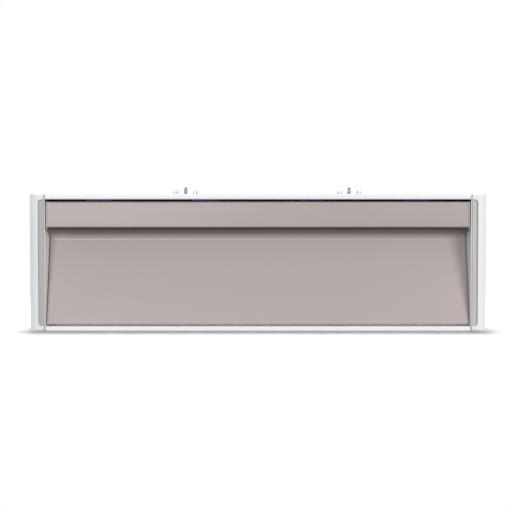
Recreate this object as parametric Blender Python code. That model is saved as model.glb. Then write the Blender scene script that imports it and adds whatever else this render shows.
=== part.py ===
"""Letter plate: a white aluminium frame with a sprung, top-hung flap that opens outwards.

Metres, +Z up, front towards -Y. The origin is the middle of the footprint, on the plane it stands on.
Sections are drawn as (depth, height) points: depth is measured back from the front plane of the frame.
"""
import math

import bmesh
import bpy
from mathutils import Matrix, Vector

# Frame
FRAME_WIDTH = 0.330
FRAME_HEIGHT = 0.099
FIT_GAP = 0.0003
CAP_WIDTH = 0.0103
CAP_SIDE_WALL = 0.0018
CAP_END_WALL = 0.0022
CAP_EDGE_RADIUS = 0.0009
RIM_WIDTH = 0.0059
STRIP_POCKET_DEPTH = 0.0019
STRIP_THICKNESS = 0.0008
STRIP_CORNER_RADIUS = 0.0024
POCKET_ABOVE_LIP = 0.0002
SIDE_PLATE_THICKNESS = 0.0008
RAIL_WEB = 0.0018
RAIL_LIP_THICKNESS = 0.0022
RAIL_TOP_RADIUS = 0.0008
TOP_LIP_HEIGHT = 0.0039
TOP_LIP_RADIUS = 0.0011
BOTTOM_LIP_HEIGHT = 0.0034
REAR_UPSTAND = 0.0140
FOOT_WIDTH = 0.0020
FOOT_CORNER_RADIUS = 0.0005
RIB_THICKNESS = 0.0010
RIB_HEIGHT = 0.0012
SPRING_LEDGE_THICKNESS = 0.0015
BOSS_SIZE = 0.0050
FRONT_BOSS_DEPTH = 0.0145

# Clamp channel along the back of the top rail
CHANNEL_INSIDE = 0.0128
CHANNEL_WALL = 0.0016
CHANNEL_HEIGHT = 0.0142
SLOT_WIDTH = 0.0064
CLAMP_LENGTH = 0.0220
CLAMP_LEFT_X = -0.0544
CLAMP_RIGHT_X = 0.0688
CLAMP_TRAVEL = 0.0300
NIB_SPACING = 0.0144
NIB_BASE = 0.0042
NIB_TOP = 0.0020
NIB_RISE = 0.0042
CLAMP_SCREW_RADIUS = 0.0014
CLAMP_SCREW_RISE = 0.0066
CLAMP_SCREW_POINT = 0.0030
CLAMP_SCREW_LEAD = 0.0004
CLAMP_SCREW_TIP = 0.0006
CLAMP_SCREW_TIP_RADIUS = 0.00063
DRIVER_CLEARANCE = 0.0014
SOCKET_RADIUS = 0.0008
SOCKET_DEPTH = 0.0020

# Flap
TOP_GAP = 0.0016
BOTTOM_GAP = 0.0011
END_GAP = 0.0007
FLAP_SETBACK = 0.0005
FLAP_WALL = 0.0018
BAND_HEIGHT = 0.0183
BAND_TOP_RADIUS = 0.0012
LEDGE_ANGLE = math.radians(14.0)
LEDGE_OUTER_RADIUS = 0.0020
LEDGE_INNER_RADIUS = 0.0045
RECESS_DEPTH = 0.0161
PANEL_BOTTOM_SETBACK = 0.0015
HEM_LENGTH = 0.0035
HEM_RADIUS = 0.0007
HEM_LEAST_RADIUS = 0.0003
END_PLATE_THICKNESS = 0.0010
END_PLATE_PROUD = 0.00035
END_PLATE_MARGIN = 0.0012
END_PLATE_SHOULDER_BELOW = 0.0060
END_PLATE_SHOULDER_ABOVE = 0.0045
PEG_RADIUS = 0.0009
PEG_LENGTH = 0.0080
PORT_WALL = 0.0011
LOWER_PORT_HEIGHT = 0.0140
UPPER_PORT_BACKSET = 0.0042
PORT_STANDOFF = 0.0004

# Hinge
AXIS_BELOW_TOP = 0.0120
EYE_CLEARANCE = 0.00045
ROD_RADIUS = 0.00125
ROD_CHAMFER = 0.0004
ROD_IN_BUSH = 0.0018
EYE_WALL = 0.0012
BEAD_SETBACK = 0.0002
BEAD_WEB_HEIGHT = 0.0018
SWEEP_CLEARANCE = 0.0005
CLIP_LENGTH = 0.0188
CLIP_WEB = 0.0022
CLIP_PAD_LENGTH = 0.0058
CLIP_PAD_HEIGHT = 0.0022
CLIP_ARM_HEIGHT = 0.0040
CLIP_CHAMFER = 0.0008
STATION_FROM_END = 0.0356
NOTCH_SIDE_GAP = 0.0006
NOTCH_MARGIN = 0.0004
SPRING_COIL_RADIUS = 0.0021
SPRING_WIRE_RADIUS = 0.00035
SPRING_TURNS = 7
SPRING_PITCH = 0.0010
SPRING_LEG_UP = 0.0085
SPRING_LEG_BEND = 0.0012
BUSH_WALL = 0.00065
BUSH_REACH = 0.0026

# Small parts
SCREW_SHANK_RADIUS = 0.0012
SCREW_HEAD_RADIUS = 0.0022
SCREW_HEAD_HEIGHT = 0.0016
SCREW_LENGTH = 0.0120
BUMPER_LENGTH = 0.0076
BUMPER_DEPTH = 0.0038
BUMPER_HEIGHT = 0.0044
BUMPER_EDGE_RADIUS = 0.0006
SEAL_THICKNESS = 0.00174
LUG_THICKNESS = 0.0016
LUG_HEIGHT = 0.0060
LUG_REACH = 0.0012
LUG_FROM_BACK = 0.0070
LUG_ABOVE_PORT = 0.0247
LUG_BELOW_PORT = 0.0175

# Construction: how far cutting bodies run past a face, and joined bodies into one
CUT_OVERRUN = 0.0020
JOIN_OVERLAP = 0.0006

# Worked out from the sizes above
HALF_WIDTH = FRAME_WIDTH / 2
PLATE_OUTSIDE = HALF_WIDTH - CAP_WIDTH
PLATE_INSIDE = PLATE_OUTSIDE - SIDE_PLATE_THICKNESS
RAIL_HALF = PLATE_INSIDE - FIT_GAP
FLAP_HALF = PLATE_INSIDE - END_GAP
PANEL_HALF = FLAP_HALF - END_PLATE_THICKNESS - FIT_GAP
FLAP_TOP = FRAME_HEIGHT - TOP_LIP_HEIGHT - TOP_GAP
FLAP_BOTTOM = BOTTOM_LIP_HEIGHT + BOTTOM_GAP
BORE_RADIUS = ROD_RADIUS + FIT_GAP
EYE_RADIUS = BORE_RADIUS + EYE_WALL
BUSH_RADIUS = BORE_RADIUS + BUSH_WALL
AXIS_BEHIND_BAND = FLAP_WALL + EYE_RADIUS + EYE_CLEARANCE
AXIS_DEPTH = FLAP_SETBACK + AXIS_BEHIND_BAND
AXIS_HEIGHT = FLAP_TOP - AXIS_BELOW_TOP
CAP_FRONT_WALL = AXIS_DEPTH - BUSH_RADIUS - 2 * FIT_GAP
SWEEP_RADIUS = math.hypot(AXIS_BEHIND_BAND + END_PLATE_PROUD, AXIS_BELOW_TOP + END_PLATE_PROUD)
CLIP_FRONT = AXIS_DEPTH + SWEEP_RADIUS + SWEEP_CLEARANCE
CLIP_BACK = CLIP_FRONT + CLIP_WEB
LEDGE_FRONT = CLIP_BACK + FIT_GAP
CHANNEL_FRONT = CLIP_BACK + SEAL_THICKNESS + 2 * FIT_GAP
CHANNEL_FRONT_IN = CHANNEL_FRONT + CHANNEL_WALL
CHANNEL_BACK_IN = CHANNEL_FRONT_IN + CHANNEL_INSIDE
FRAME_DEPTH = CHANNEL_BACK_IN + CHANNEL_WALL
FRONT_Y = -FRAME_DEPTH / 2
CHANNEL_MIDDLE = (CHANNEL_FRONT_IN + CHANNEL_BACK_IN) / 2
WEB_UNDERSIDE = FRAME_HEIGHT - RAIL_WEB
FLOOR_TOP = WEB_UNDERSIDE - CHANNEL_HEIGHT
FLOOR_BOTTOM = FLOOR_TOP - CHANNEL_WALL
PORT_RADIUS = SCREW_SHANK_RADIUS + FIT_GAP
HEAD_ROOM = SCREW_HEAD_RADIUS + 2 * FIT_GAP
REAR_PORT_DEPTH = FRAME_DEPTH - CAP_SIDE_WALL - HEAD_ROOM
BOTTOM_PORT_HEIGHT = CAP_END_WALL + HEAD_ROOM
SPRING_LEDGE_TOP = AXIS_HEIGHT - SPRING_COIL_RADIUS - SPRING_WIRE_RADIUS - FIT_GAP
SPRING_LEDGE_BOTTOM = SPRING_LEDGE_TOP - SPRING_LEDGE_THICKNESS
BOSS_BOTTOM = min(FLOOR_BOTTOM - BOSS_SIZE, SPRING_LEDGE_BOTTOM - FIT_GAP)
LUG_DEPTH = FRAME_DEPTH - LUG_FROM_BACK
STATION_PITCH = 2 * (FLAP_HALF - STATION_FROM_END) / 3
STATIONS = [(index - 1.5) * STATION_PITCH for index in range(4)]
SPRING_STATIONS = [-STATION_PITCH, STATION_PITCH]
SIDES = [("left", -1), ("right", 1)]


def clear_scene():
    """Remove every object that the file holds."""
    for item in list(bpy.data.objects):
        bpy.data.objects.remove(item, do_unlink=True)


def make_material(name, colour, roughness, metallic=0.0):
    """Return a Principled BSDF material."""
    material = bpy.data.materials.new(name)
    material.use_nodes = True
    shader = material.node_tree.nodes["Principled BSDF"]
    shader.inputs["Base Color"].default_value = (*colour, 1.0)
    shader.inputs["Roughness"].default_value = roughness
    shader.inputs["Metallic"].default_value = metallic
    return material


def add_object(name, data, material=None, location=(0, 0, 0), parent=None):
    """Link an object for this mesh or curve, give it its material and place it."""
    item = bpy.data.objects.new(name, data)
    bpy.context.collection.objects.link(item)
    item.location = location
    item.parent = parent
    if material is not None:
        item.data.materials.clear()
        item.data.materials.append(material)
    return item


def finish_mesh(name, bm):
    """Point the faces outwards and return the mesh, shaded smooth with sharp corners kept."""
    bmesh.ops.recalc_face_normals(bm, faces=bm.faces)
    mesh = bpy.data.meshes.new(name)
    bm.to_mesh(mesh)
    bm.free()
    mesh.shade_smooth()
    mesh.set_sharp_from_angle(angle=math.radians(30))
    return mesh


def circle(centre, radius, count=20):
    """Return points round a circle in the section plane."""
    angles = [2 * math.pi * index / count for index in range(count)]
    return [(centre[0] + radius * math.cos(a), centre[1] + radius * math.sin(a)) for a in angles]


def arc(centre, radius, start, end, count):
    """Return points along an arc in the section plane, with its angles in degrees."""
    steps = [math.radians(start + (end - start) * index / count) for index in range(count + 1)]
    return [(centre[0] + radius * math.cos(a), centre[1] + radius * math.sin(a)) for a in steps]


def prism_mesh(name, outline, holes=(), length=1.0):
    """Fill a (depth, height) outline with holes and extrude it along X, centred on x = 0."""
    bm = bmesh.new()
    edges = []
    for loop in [outline, *holes]:
        ring = [bm.verts.new((-length / 2, FRONT_Y + depth, height)) for depth, height in loop]
        edges += [bm.edges.new((ring[i], ring[(i + 1) % len(ring)])) for i in range(len(ring))]
    bmesh.ops.triangle_fill(bm, use_beauty=True, edges=edges, normal=(1, 0, 0))
    grown = bmesh.ops.extrude_face_region(bm, geom=list(bm.faces))
    moved = [item for item in grown["geom"] if isinstance(item, bmesh.types.BMVert)]
    bmesh.ops.translate(bm, verts=moved, vec=(length, 0, 0))
    return finish_mesh(name, bm)


def box_mesh(name, low, high):
    """Return a box between two corners."""
    bm = bmesh.new()
    size = Vector(high) - Vector(low)
    middle = (Vector(high) + Vector(low)) / 2
    bmesh.ops.create_cube(bm, size=1.0, matrix=Matrix.Translation(middle) @ Matrix.Diagonal((*size, 1.0)))
    return finish_mesh(name, bm)


def turned_mesh(name, profile, axis="X", count=24):
    """Turn (position along the axis, radius) points into a solid whose two ends are flat or pointed."""
    bm = bmesh.new()
    rings = []
    for along, radius in profile:
        angles = [2 * math.pi * index / count for index in range(count if radius > 0 else 1)]
        points = [(radius * math.cos(a), radius * math.sin(a)) for a in angles]
        if axis == "X":
            rings.append([bm.verts.new((along, u, v)) for u, v in points])
        else:
            rings.append([bm.verts.new((u, v, along)) for u, v in points])
    for first, second in zip(rings, rings[1:]):
        for i in range(count):
            j = (i + 1) % count
            corners = [first[i % len(first)], first[j % len(first)]]
            corners += [second[j % len(second)], second[i % len(second)]]
            bm.faces.new(list(dict.fromkeys(corners)))
    for ring in (rings[0], rings[-1]):
        if len(ring) > 1:
            bm.faces.new(ring)
    return finish_mesh(name, bm)


def ring_mesh(name, profile, count=24):
    """Turn a closed (x, radius) outline round the X axis into a ring."""
    bm = bmesh.new()
    for x, radius in profile:
        bm.verts.new((x, radius, 0))
    bm.verts.ensure_lookup_table()
    loop = list(bm.verts)
    edges = [bm.edges.new((loop[i], loop[(i + 1) % len(loop)])) for i in range(len(loop))]
    bmesh.ops.spin(bm, geom=loop + edges, cent=(0, 0, 0), axis=(1, 0, 0), angle=2 * math.pi,
                   steps=count, use_merge=True)
    return finish_mesh(name, bm)


def hide_tool(item):
    """Keep a cutting or joining body out of the model."""
    item.hide_render = True
    item.display_type = "WIRE"
    return item


def boolean(target, tool, operation="DIFFERENCE"):
    """Cut a tool body from the target, or join it to the target."""
    modifier = target.modifiers.new(tool.name, "BOOLEAN")
    modifier.operation = operation
    modifier.solver = "EXACT"
    modifier.object = hide_tool(tool)


def bevel(target, width, segments=2, angle=50.0):
    """Round the sharp edges of a body."""
    modifier = target.modifiers.new("rounded_edges", "BEVEL")
    modifier.width = width
    modifier.segments = segments
    modifier.limit_method = "ANGLE"
    modifier.angle_limit = math.radians(angle)
    modifier.use_clamp_overlap = True


def fillet_path(corners, radii, count=8):
    """Return an open path through the corners, with each inner corner rounded to its radius."""
    path = [corners[0]]
    for before, corner, after, radius in zip(corners, corners[1:], corners[2:], radii):
        here = Vector(corner)
        back = (Vector(before) - here).normalized()
        ahead = (Vector(after) - here).normalized()
        half = back.angle(ahead) / 2
        centre = here + (back + ahead).normalized() * radius / math.sin(half)
        start = here + back * radius / math.tan(half) - centre
        turn = start.angle_signed(here + ahead * radius / math.tan(half) - centre)
        for step in range(count + 1):
            angle = -turn * step / count
            spun = (start.x * math.cos(angle) - start.y * math.sin(angle),
                    start.x * math.sin(angle) + start.y * math.cos(angle))
            path.append((centre.x + spun[0], centre.y + spun[1]))
    path.append(corners[-1])
    return path


def flap_corners(inset):
    """Return the flap's sharp section corners, moved inset behind its front surface."""
    top_corner = (FLAP_SETBACK, FLAP_TOP)
    arc_height = LEDGE_OUTER_RADIUS * math.tan((math.pi / 2 - LEDGE_ANGLE) / 2)
    band_corner = (FLAP_SETBACK, FLAP_TOP - BAND_HEIGHT - arc_height)
    recess_height = band_corner[1] - RECESS_DEPTH * math.tan(LEDGE_ANGLE)
    recess_corner = (FLAP_SETBACK + RECESS_DEPTH, recess_height)
    foot_corner = (FLAP_SETBACK + PANEL_BOTTOM_SETBACK, FLAP_BOTTOM)
    hem_corner = (foot_corner[0] + HEM_LENGTH, FLAP_BOTTOM)
    corners = [Vector(c) for c in (top_corner, band_corner, recess_corner, foot_corner, hem_corner)]
    lines = []
    for first, second in zip(corners, corners[1:]):
        along = (second - first).normalized()
        lines.append((first + Vector((-along.y, along.x)) * inset, along))
    moved = [(lines[0][0].x, FLAP_TOP)]
    for (point, along), (other, other_along) in zip(lines, lines[1:]):
        cross = along.x * other_along.y - along.y * other_along.x
        gap = other - point
        reach = (gap.x * other_along.y - gap.y * other_along.x) / cross
        moved.append(tuple(point + along * reach))
    moved.append((hem_corner[0], lines[-1][0].y))
    return moved


def flap_surface(inset):
    """Return the rounded path down the flap, inset behind its front surface."""
    hem_radius = max(HEM_RADIUS - inset, HEM_LEAST_RADIUS)
    radii = [LEDGE_OUTER_RADIUS - inset, LEDGE_INNER_RADIUS + inset, hem_radius]
    return fillet_path(flap_corners(inset), radii)


def panel_back_depth(height):
    """Return how deep the back of the sloping panel lies at a height."""
    recess, foot = flap_corners(FLAP_WALL)[2:4]
    share = (height - foot[1]) / (recess[1] - foot[1])
    return foot[0] + (recess[0] - foot[0]) * share


def port_places():
    """Return the two round ports of the flap section that its end plates plug into."""
    port = PEG_RADIUS + FIT_GAP
    upper_corner = flap_corners(FLAP_WALL)[2]
    upper_depth = upper_corner[0] - UPPER_PORT_BACKSET
    rise = UPPER_PORT_BACKSET * math.tan(LEDGE_ANGLE)
    upper_height = upper_corner[1] + rise + port + PORT_STANDOFF
    lower_depth = panel_back_depth(LOWER_PORT_HEIGHT) + port + PORT_STANDOFF
    return [(upper_depth, upper_height), (lower_depth, LOWER_PORT_HEIGHT)]


def top_rail_outline():
    """Section of the top rail: front lip, web, spring ledge, clamp channel and screw bosses."""
    slot_front = CHANNEL_MIDDLE - SLOT_WIDTH / 2
    slot_back = CHANNEL_MIDDLE + SLOT_WIDTH / 2
    lip_bottom = FRAME_HEIGHT - TOP_LIP_HEIGHT
    rib_back = CLIP_BACK - CLIP_PAD_LENGTH - FIT_GAP
    rib_front = rib_back - RIB_THICKNESS
    rib_bottom = WEB_UNDERSIDE - RIB_HEIGHT
    outline = arc((RAIL_TOP_RADIUS, FRAME_HEIGHT - RAIL_TOP_RADIUS), RAIL_TOP_RADIUS, 180, 90, 5)
    outline += [(slot_front, FRAME_HEIGHT), (slot_front, WEB_UNDERSIDE)]
    outline += [(CHANNEL_FRONT_IN, WEB_UNDERSIDE), (CHANNEL_FRONT_IN, FLOOR_TOP)]
    outline += [(CHANNEL_BACK_IN, FLOOR_TOP), (CHANNEL_BACK_IN, WEB_UNDERSIDE)]
    outline += [(slot_back, WEB_UNDERSIDE), (slot_back, FRAME_HEIGHT)]
    outline += [(FRAME_DEPTH, FRAME_HEIGHT), (FRAME_DEPTH, BOSS_BOTTOM)]
    rear_boss = REAR_PORT_DEPTH - BOSS_SIZE / 2
    outline += [(rear_boss, BOSS_BOTTOM), (rear_boss, FLOOR_BOTTOM)]
    outline += [(CHANNEL_FRONT + BOSS_SIZE, FLOOR_BOTTOM), (CHANNEL_FRONT + BOSS_SIZE, BOSS_BOTTOM)]
    outline += [(CHANNEL_FRONT, BOSS_BOTTOM), (CHANNEL_FRONT, SPRING_LEDGE_BOTTOM)]
    outline += [(LEDGE_FRONT, SPRING_LEDGE_BOTTOM), (LEDGE_FRONT, SPRING_LEDGE_TOP)]
    outline += [(CHANNEL_FRONT, SPRING_LEDGE_TOP), (CHANNEL_FRONT, WEB_UNDERSIDE)]
    outline += [(rib_back, WEB_UNDERSIDE), (rib_back, rib_bottom)]
    outline += [(rib_front, rib_bottom), (rib_front, WEB_UNDERSIDE)]
    outline += [(RAIL_LIP_THICKNESS, WEB_UNDERSIDE), (RAIL_LIP_THICKNESS, lip_bottom)]
    outline += arc((TOP_LIP_RADIUS, lip_bottom + TOP_LIP_RADIUS), TOP_LIP_RADIUS, 270, 180, 5)
    return outline


def top_port_places():
    """Return the two screw ports of the top rail."""
    height = FLOOR_BOTTOM - BOSS_SIZE / 2
    return [(CHANNEL_FRONT + BOSS_SIZE / 2, height), (REAR_PORT_DEPTH, height)]


def bottom_port_places():
    """Return the two screw ports of the bottom rail."""
    return [(FRONT_BOSS_DEPTH, BOTTOM_PORT_HEIGHT), (REAR_PORT_DEPTH, BOTTOM_PORT_HEIGHT)]


def bottom_rail_outline():
    """Section of the bottom rail: front lip, web on three feet, screw bosses and rear upstand."""
    web_bottom = BOTTOM_LIP_HEIGHT - RAIL_WEB
    boss_top = BOTTOM_PORT_HEIGHT + BOSS_SIZE / 2
    boss_front = FRONT_BOSS_DEPTH - BOSS_SIZE / 2
    boss_back = FRONT_BOSS_DEPTH + BOSS_SIZE / 2
    middle_foot = (FRAME_DEPTH - FOOT_WIDTH) / 2
    corner = RAIL_TOP_RADIUS
    outline = arc((corner, BOTTOM_LIP_HEIGHT - corner), corner, 180, 90, 5)
    outline += [(boss_front, BOTTOM_LIP_HEIGHT), (boss_front, boss_top)]
    outline += [(boss_back, boss_top), (boss_back, BOTTOM_LIP_HEIGHT)]
    rear_boss = REAR_PORT_DEPTH - BOSS_SIZE / 2
    outline += [(rear_boss, BOTTOM_LIP_HEIGHT), (rear_boss, boss_top)]
    outline += [(FRAME_DEPTH - RAIL_WEB, boss_top), (FRAME_DEPTH - RAIL_WEB, REAR_UPSTAND)]
    outline += [(FRAME_DEPTH, REAR_UPSTAND), (FRAME_DEPTH, 0)]
    outline += [(FRAME_DEPTH - FOOT_WIDTH, 0), (FRAME_DEPTH - FOOT_WIDTH, web_bottom)]
    outline += [(middle_foot + FOOT_WIDTH, web_bottom), (middle_foot + FOOT_WIDTH, 0)]
    outline += [(middle_foot, 0), (middle_foot, web_bottom)]
    outline += [(RAIL_LIP_THICKNESS, web_bottom), (RAIL_LIP_THICKNESS, 0)]
    outline += arc((FOOT_CORNER_RADIUS, FOOT_CORNER_RADIUS), FOOT_CORNER_RADIUS, 270, 180, 3)
    return outline


def build_rails(white):
    """Two extruded rails with their screw ports, and the slots that a driver and the clamp screws pass."""
    holes = [circle(place, PORT_RADIUS) for place in top_port_places()]
    mesh = prism_mesh("top_rail", top_rail_outline(), holes, 2 * RAIL_HALF)
    rail = add_object("top_rail", mesh, white)
    half_wide = CLAMP_SCREW_RADIUS + DRIVER_CLEARANCE
    half_long = CLAMP_TRAVEL + half_wide
    middle_y = FRONT_Y + CHANNEL_MIDDLE
    for name, place in (("left", CLAMP_LEFT_X), ("right", CLAMP_RIGHT_X)):
        low = (place - half_long, middle_y - half_wide, BOSS_BOTTOM - CUT_OVERRUN)
        high = (place + half_long, middle_y + half_wide, FLOOR_TOP + CUT_OVERRUN)
        boolean(rail, add_object(f"driver_slot_{name}", box_mesh("driver_slot", low, high)))
    holes = [circle(place, PORT_RADIUS) for place in bottom_port_places()]
    mesh = prism_mesh("bottom_rail", bottom_rail_outline(), holes, 2 * RAIL_HALF)
    add_object("bottom_rail", mesh, white)


def lug_heights():
    """Return the heights of the two snap lugs that hold each end cap."""
    top_port_height = top_port_places()[0][1]
    return [BOTTOM_PORT_HEIGHT + LUG_ABOVE_PORT, top_port_height - LUG_BELOW_PORT]


def build_side_plates(grey):
    """Two thin plates that close the rails' ends, bored for the screws, the bush and the lugs."""
    inset = FIT_GAP
    outline = [(inset, inset), (FRAME_DEPTH - inset, inset)]
    outline += [(FRAME_DEPTH - inset, FRAME_HEIGHT - inset), (inset, FRAME_HEIGHT - inset)]
    holes = [circle(place, PORT_RADIUS) for place in top_port_places() + bottom_port_places()]
    holes.append(circle((AXIS_DEPTH, AXIS_HEIGHT), BUSH_RADIUS + FIT_GAP))
    for height in lug_heights():
        half_deep = LUG_THICKNESS / 2 + FIT_GAP
        half_high = LUG_HEIGHT / 2 + FIT_GAP
        front, back = LUG_DEPTH - half_deep, LUG_DEPTH + half_deep
        low, high = height - half_high, height + half_high
        holes.append([(front, low), (back, low), (back, high), (front, high)])
    mesh = prism_mesh("side_plate", outline, holes, SIDE_PLATE_THICKNESS)
    middle = PLATE_INSIDE + SIDE_PLATE_THICKNESS / 2
    for name, side in SIDES:
        add_object(f"side_plate_{name}", mesh, grey, (side * middle, 0, 0))


def rounded_pocket(grow, thickness):
    """Outline, in (x from the frame's middle, height), of the strip's pocket on the right side."""
    outer = PLATE_OUTSIDE + CAP_WIDTH - RIM_WIDTH + grow
    inner = PLATE_OUTSIDE - grow + thickness
    low = BOTTOM_LIP_HEIGHT + POCKET_ABOVE_LIP - grow
    high = FRAME_HEIGHT - TOP_LIP_HEIGHT + grow
    radius = STRIP_CORNER_RADIUS + grow
    outline = [(inner, low)]
    outline += arc((outer - radius, low + radius), radius, 270, 360, 6)
    outline += arc((outer - radius, high - radius), radius, 0, 90, 6)
    outline += [(inner, high)]
    return outline


def front_slab(name, outline, side, front, back):
    """Extrude an (x, height) outline back from one depth to another, on the left or right."""
    bm = bmesh.new()
    face = bm.faces.new([bm.verts.new((side * x, FRONT_Y + front, z)) for x, z in outline])
    grown = bmesh.ops.extrude_face_region(bm, geom=[face])
    moved = [item for item in grown["geom"] if isinstance(item, bmesh.types.BMVert)]
    bmesh.ops.translate(bm, verts=moved, vec=(0, back - front, 0))
    return finish_mesh(name, bm)


def side_box(name, side, inner, outer, low, high):
    """Box between two distances from the middle plane, on the left or right."""
    near, far = sorted((side * inner, side * outer))
    return box_mesh(name, (near, FRONT_Y + low[0], low[1]), (far, FRONT_Y + high[0], high[1]))


def build_end_caps(white, strip_grey):
    """Two moulded caps, hollow behind, snapped to the side plates, with a strip let into each front."""
    inside = PLATE_OUTSIDE + FIT_GAP
    for name, side in SIDES:
        body = side_box("end_cap", side, inside, HALF_WIDTH, (0, 0), (FRAME_DEPTH, FRAME_HEIGHT))
        cap = add_object(f"end_cap_{name}", body, white)
        bevel(cap, CAP_EDGE_RADIUS, 3)
        hollow = side_box("hollow", side, inside - CUT_OVERRUN, HALF_WIDTH - CAP_SIDE_WALL,
                          (CAP_FRONT_WALL, CAP_END_WALL),
                          (FRAME_DEPTH - CAP_SIDE_WALL, FRAME_HEIGHT - CAP_END_WALL))
        boolean(cap, add_object(f"cap_hollow_{name}", hollow))
        pocket = front_slab("pocket", rounded_pocket(0, -CUT_OVERRUN), side, -CUT_OVERRUN, STRIP_POCKET_DEPTH)
        boolean(cap, add_object(f"cap_pocket_{name}", pocket))
        for number, height in enumerate(lug_heights(), 1):
            half_deep = LUG_THICKNESS / 2
            lug = side_box("lug", side, PLATE_INSIDE - LUG_REACH, HALF_WIDTH - CAP_SIDE_WALL / 2,
                           (LUG_DEPTH - half_deep, height - LUG_HEIGHT / 2),
                           (LUG_DEPTH + half_deep, height + LUG_HEIGHT / 2))
            boolean(cap, add_object(f"cap_lug_{name}_{number}", lug), "UNION")
        front = STRIP_POCKET_DEPTH - FIT_GAP - STRIP_THICKNESS
        strip = front_slab("strip", rounded_pocket(-FIT_GAP, 0), side, front, front + STRIP_THICKNESS)
        add_object(f"cap_strip_{name}", strip, strip_grey)


def build_frame_screws(zinc):
    """Eight pan-head screws through the side plates into the rails' ports."""
    seat = PLATE_OUTSIDE + FIT_GAP
    tip = seat - SCREW_LENGTH
    profile = [(tip, 0), (tip + SCREW_SHANK_RADIUS, SCREW_SHANK_RADIUS), (seat, SCREW_SHANK_RADIUS)]
    profile += [(seat, SCREW_HEAD_RADIUS), (seat + SCREW_HEAD_HEIGHT * 0.5, SCREW_HEAD_RADIUS)]
    profile += [(seat + SCREW_HEAD_HEIGHT * 0.85, SCREW_HEAD_RADIUS * 0.8)]
    profile += [(seat + SCREW_HEAD_HEIGHT, SCREW_HEAD_RADIUS * 0.35)]
    places = [("top_front", top_port_places()[0]), ("top_rear", top_port_places()[1])]
    places += [("bottom_front", bottom_port_places()[0]), ("bottom_rear", bottom_port_places()[1])]
    for name, side in SIDES:
        mesh = turned_mesh("frame_screw", [(side * x, radius) for x, radius in profile], count=16)
        for label, (depth, height) in places:
            add_object(f"frame_screw_{name}_{label}", mesh, zinc, (0, FRONT_Y + depth, height))


def hinge_empty():
    """Empty on the flap's hinge axis, which everything that swings is parented to."""
    return add_object("flap_pivot", None, None, (0, FRONT_Y + AXIS_DEPTH, AXIS_HEIGHT))


def flap_outline():
    """Closed section of the flap: front surface down, back surface up, round top edge."""
    radius = min(BAND_TOP_RADIUS, FLAP_WALL * 0.66)
    front = flap_surface(0.0)[1:]
    back = flap_surface(FLAP_WALL)[1:]
    top = arc((FLAP_SETBACK + radius, FLAP_TOP - radius), radius, 90, 180, 5)
    return [(FLAP_SETBACK + FLAP_WALL, FLAP_TOP), *top, *front, *reversed(back)]


def build_flap(taupe, pivot):
    """The flap section, with a hinge bead behind its band and two ports for the end plates."""
    to_pivot = Matrix.Translation((0, -(FRONT_Y + AXIS_DEPTH), -AXIS_HEIGHT))
    mesh = prism_mesh("flap_panel", flap_outline(), length=2 * PANEL_HALF)
    mesh.transform(to_pivot)
    flap = add_object("flap_panel", mesh, taupe, parent=pivot)
    wall_back = -AXIS_BEHIND_BAND + FLAP_WALL
    bead_ends = PANEL_HALF - BEAD_SETBACK
    bead = turned_mesh("hinge_bead", [(-bead_ends, EYE_RADIUS), (bead_ends, EYE_RADIUS)])
    boolean(flap, add_object("hinge_bead", bead, parent=pivot), "UNION")
    half_web = BEAD_WEB_HEIGHT / 2
    low = (-bead_ends, wall_back - JOIN_OVERLAP, -half_web)
    web = box_mesh("bead_web", low, (bead_ends, -BORE_RADIUS, half_web))
    boolean(flap, add_object("bead_web", web, parent=pivot), "UNION")
    for number, (depth, height) in enumerate(port_places(), 1):
        place = (0, depth - AXIS_DEPTH, height - AXIS_HEIGHT)
        radius = PEG_RADIUS + FIT_GAP
        bar = turned_mesh("port_bead", [(-bead_ends, radius + PORT_WALL), (bead_ends, radius + PORT_WALL)])
        boolean(flap, add_object(f"port_bead_{number}", bar, None, place, pivot), "UNION")
        bore = turned_mesh("port_bore", [(-HALF_WIDTH, radius), (HALF_WIDTH, radius)], count=16)
        boolean(flap, add_object(f"port_bore_{number}", bore, None, place, pivot))
    bore = turned_mesh("rod_bore", [(-HALF_WIDTH, BORE_RADIUS), (HALF_WIDTH, BORE_RADIUS)], count=20)
    boolean(flap, add_object("rod_bore", bore, parent=pivot))
    spring_length = SPRING_TURNS * SPRING_PITCH + 2 * SPRING_WIRE_RADIUS
    notches = [(x, CLIP_LENGTH) for x in STATIONS] + [(x, spring_length) for x in SPRING_STATIONS]
    for number, (x, length) in enumerate(notches, 1):
        half = length / 2 + NOTCH_SIDE_GAP
        low = (x - half, wall_back, -EYE_RADIUS - NOTCH_MARGIN)
        high = (x + half, EYE_RADIUS + CUT_OVERRUN, EYE_RADIUS + NOTCH_MARGIN)
        boolean(flap, add_object(f"bead_notch_{number}", box_mesh("bead_notch", low, high), parent=pivot))


def end_plate_outline():
    """Side outline of the flap's end plates, a little proud of the flap all round its front."""
    front = flap_surface(-END_PLATE_PROUD)
    top = FLAP_TOP + END_PLATE_PROUD
    radius = BAND_TOP_RADIUS
    front_depth = FLAP_SETBACK - END_PLATE_PROUD
    outline = arc((front_depth + radius, top - radius), radius, 90, 180, 5)
    outline += front[1:-1]
    foot = front[-1]
    rear_foot = flap_corners(FLAP_WALL)[3][0] + HEM_LENGTH
    upper = flap_corners(FLAP_WALL)[2]
    back = upper[0] + END_PLATE_MARGIN
    outline += [(rear_foot, foot[1]), (rear_foot + END_PLATE_MARGIN, LOWER_PORT_HEIGHT)]
    outline += [(back, upper[1] - END_PLATE_SHOULDER_BELOW), (back, upper[1] + END_PLATE_SHOULDER_ABOVE)]
    outline += [(AXIS_DEPTH + EYE_RADIUS, AXIS_HEIGHT - EYE_RADIUS)]
    outline += [(AXIS_DEPTH + EYE_RADIUS, FLAP_TOP - EYE_RADIUS), (AXIS_DEPTH, top)]
    return outline


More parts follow.
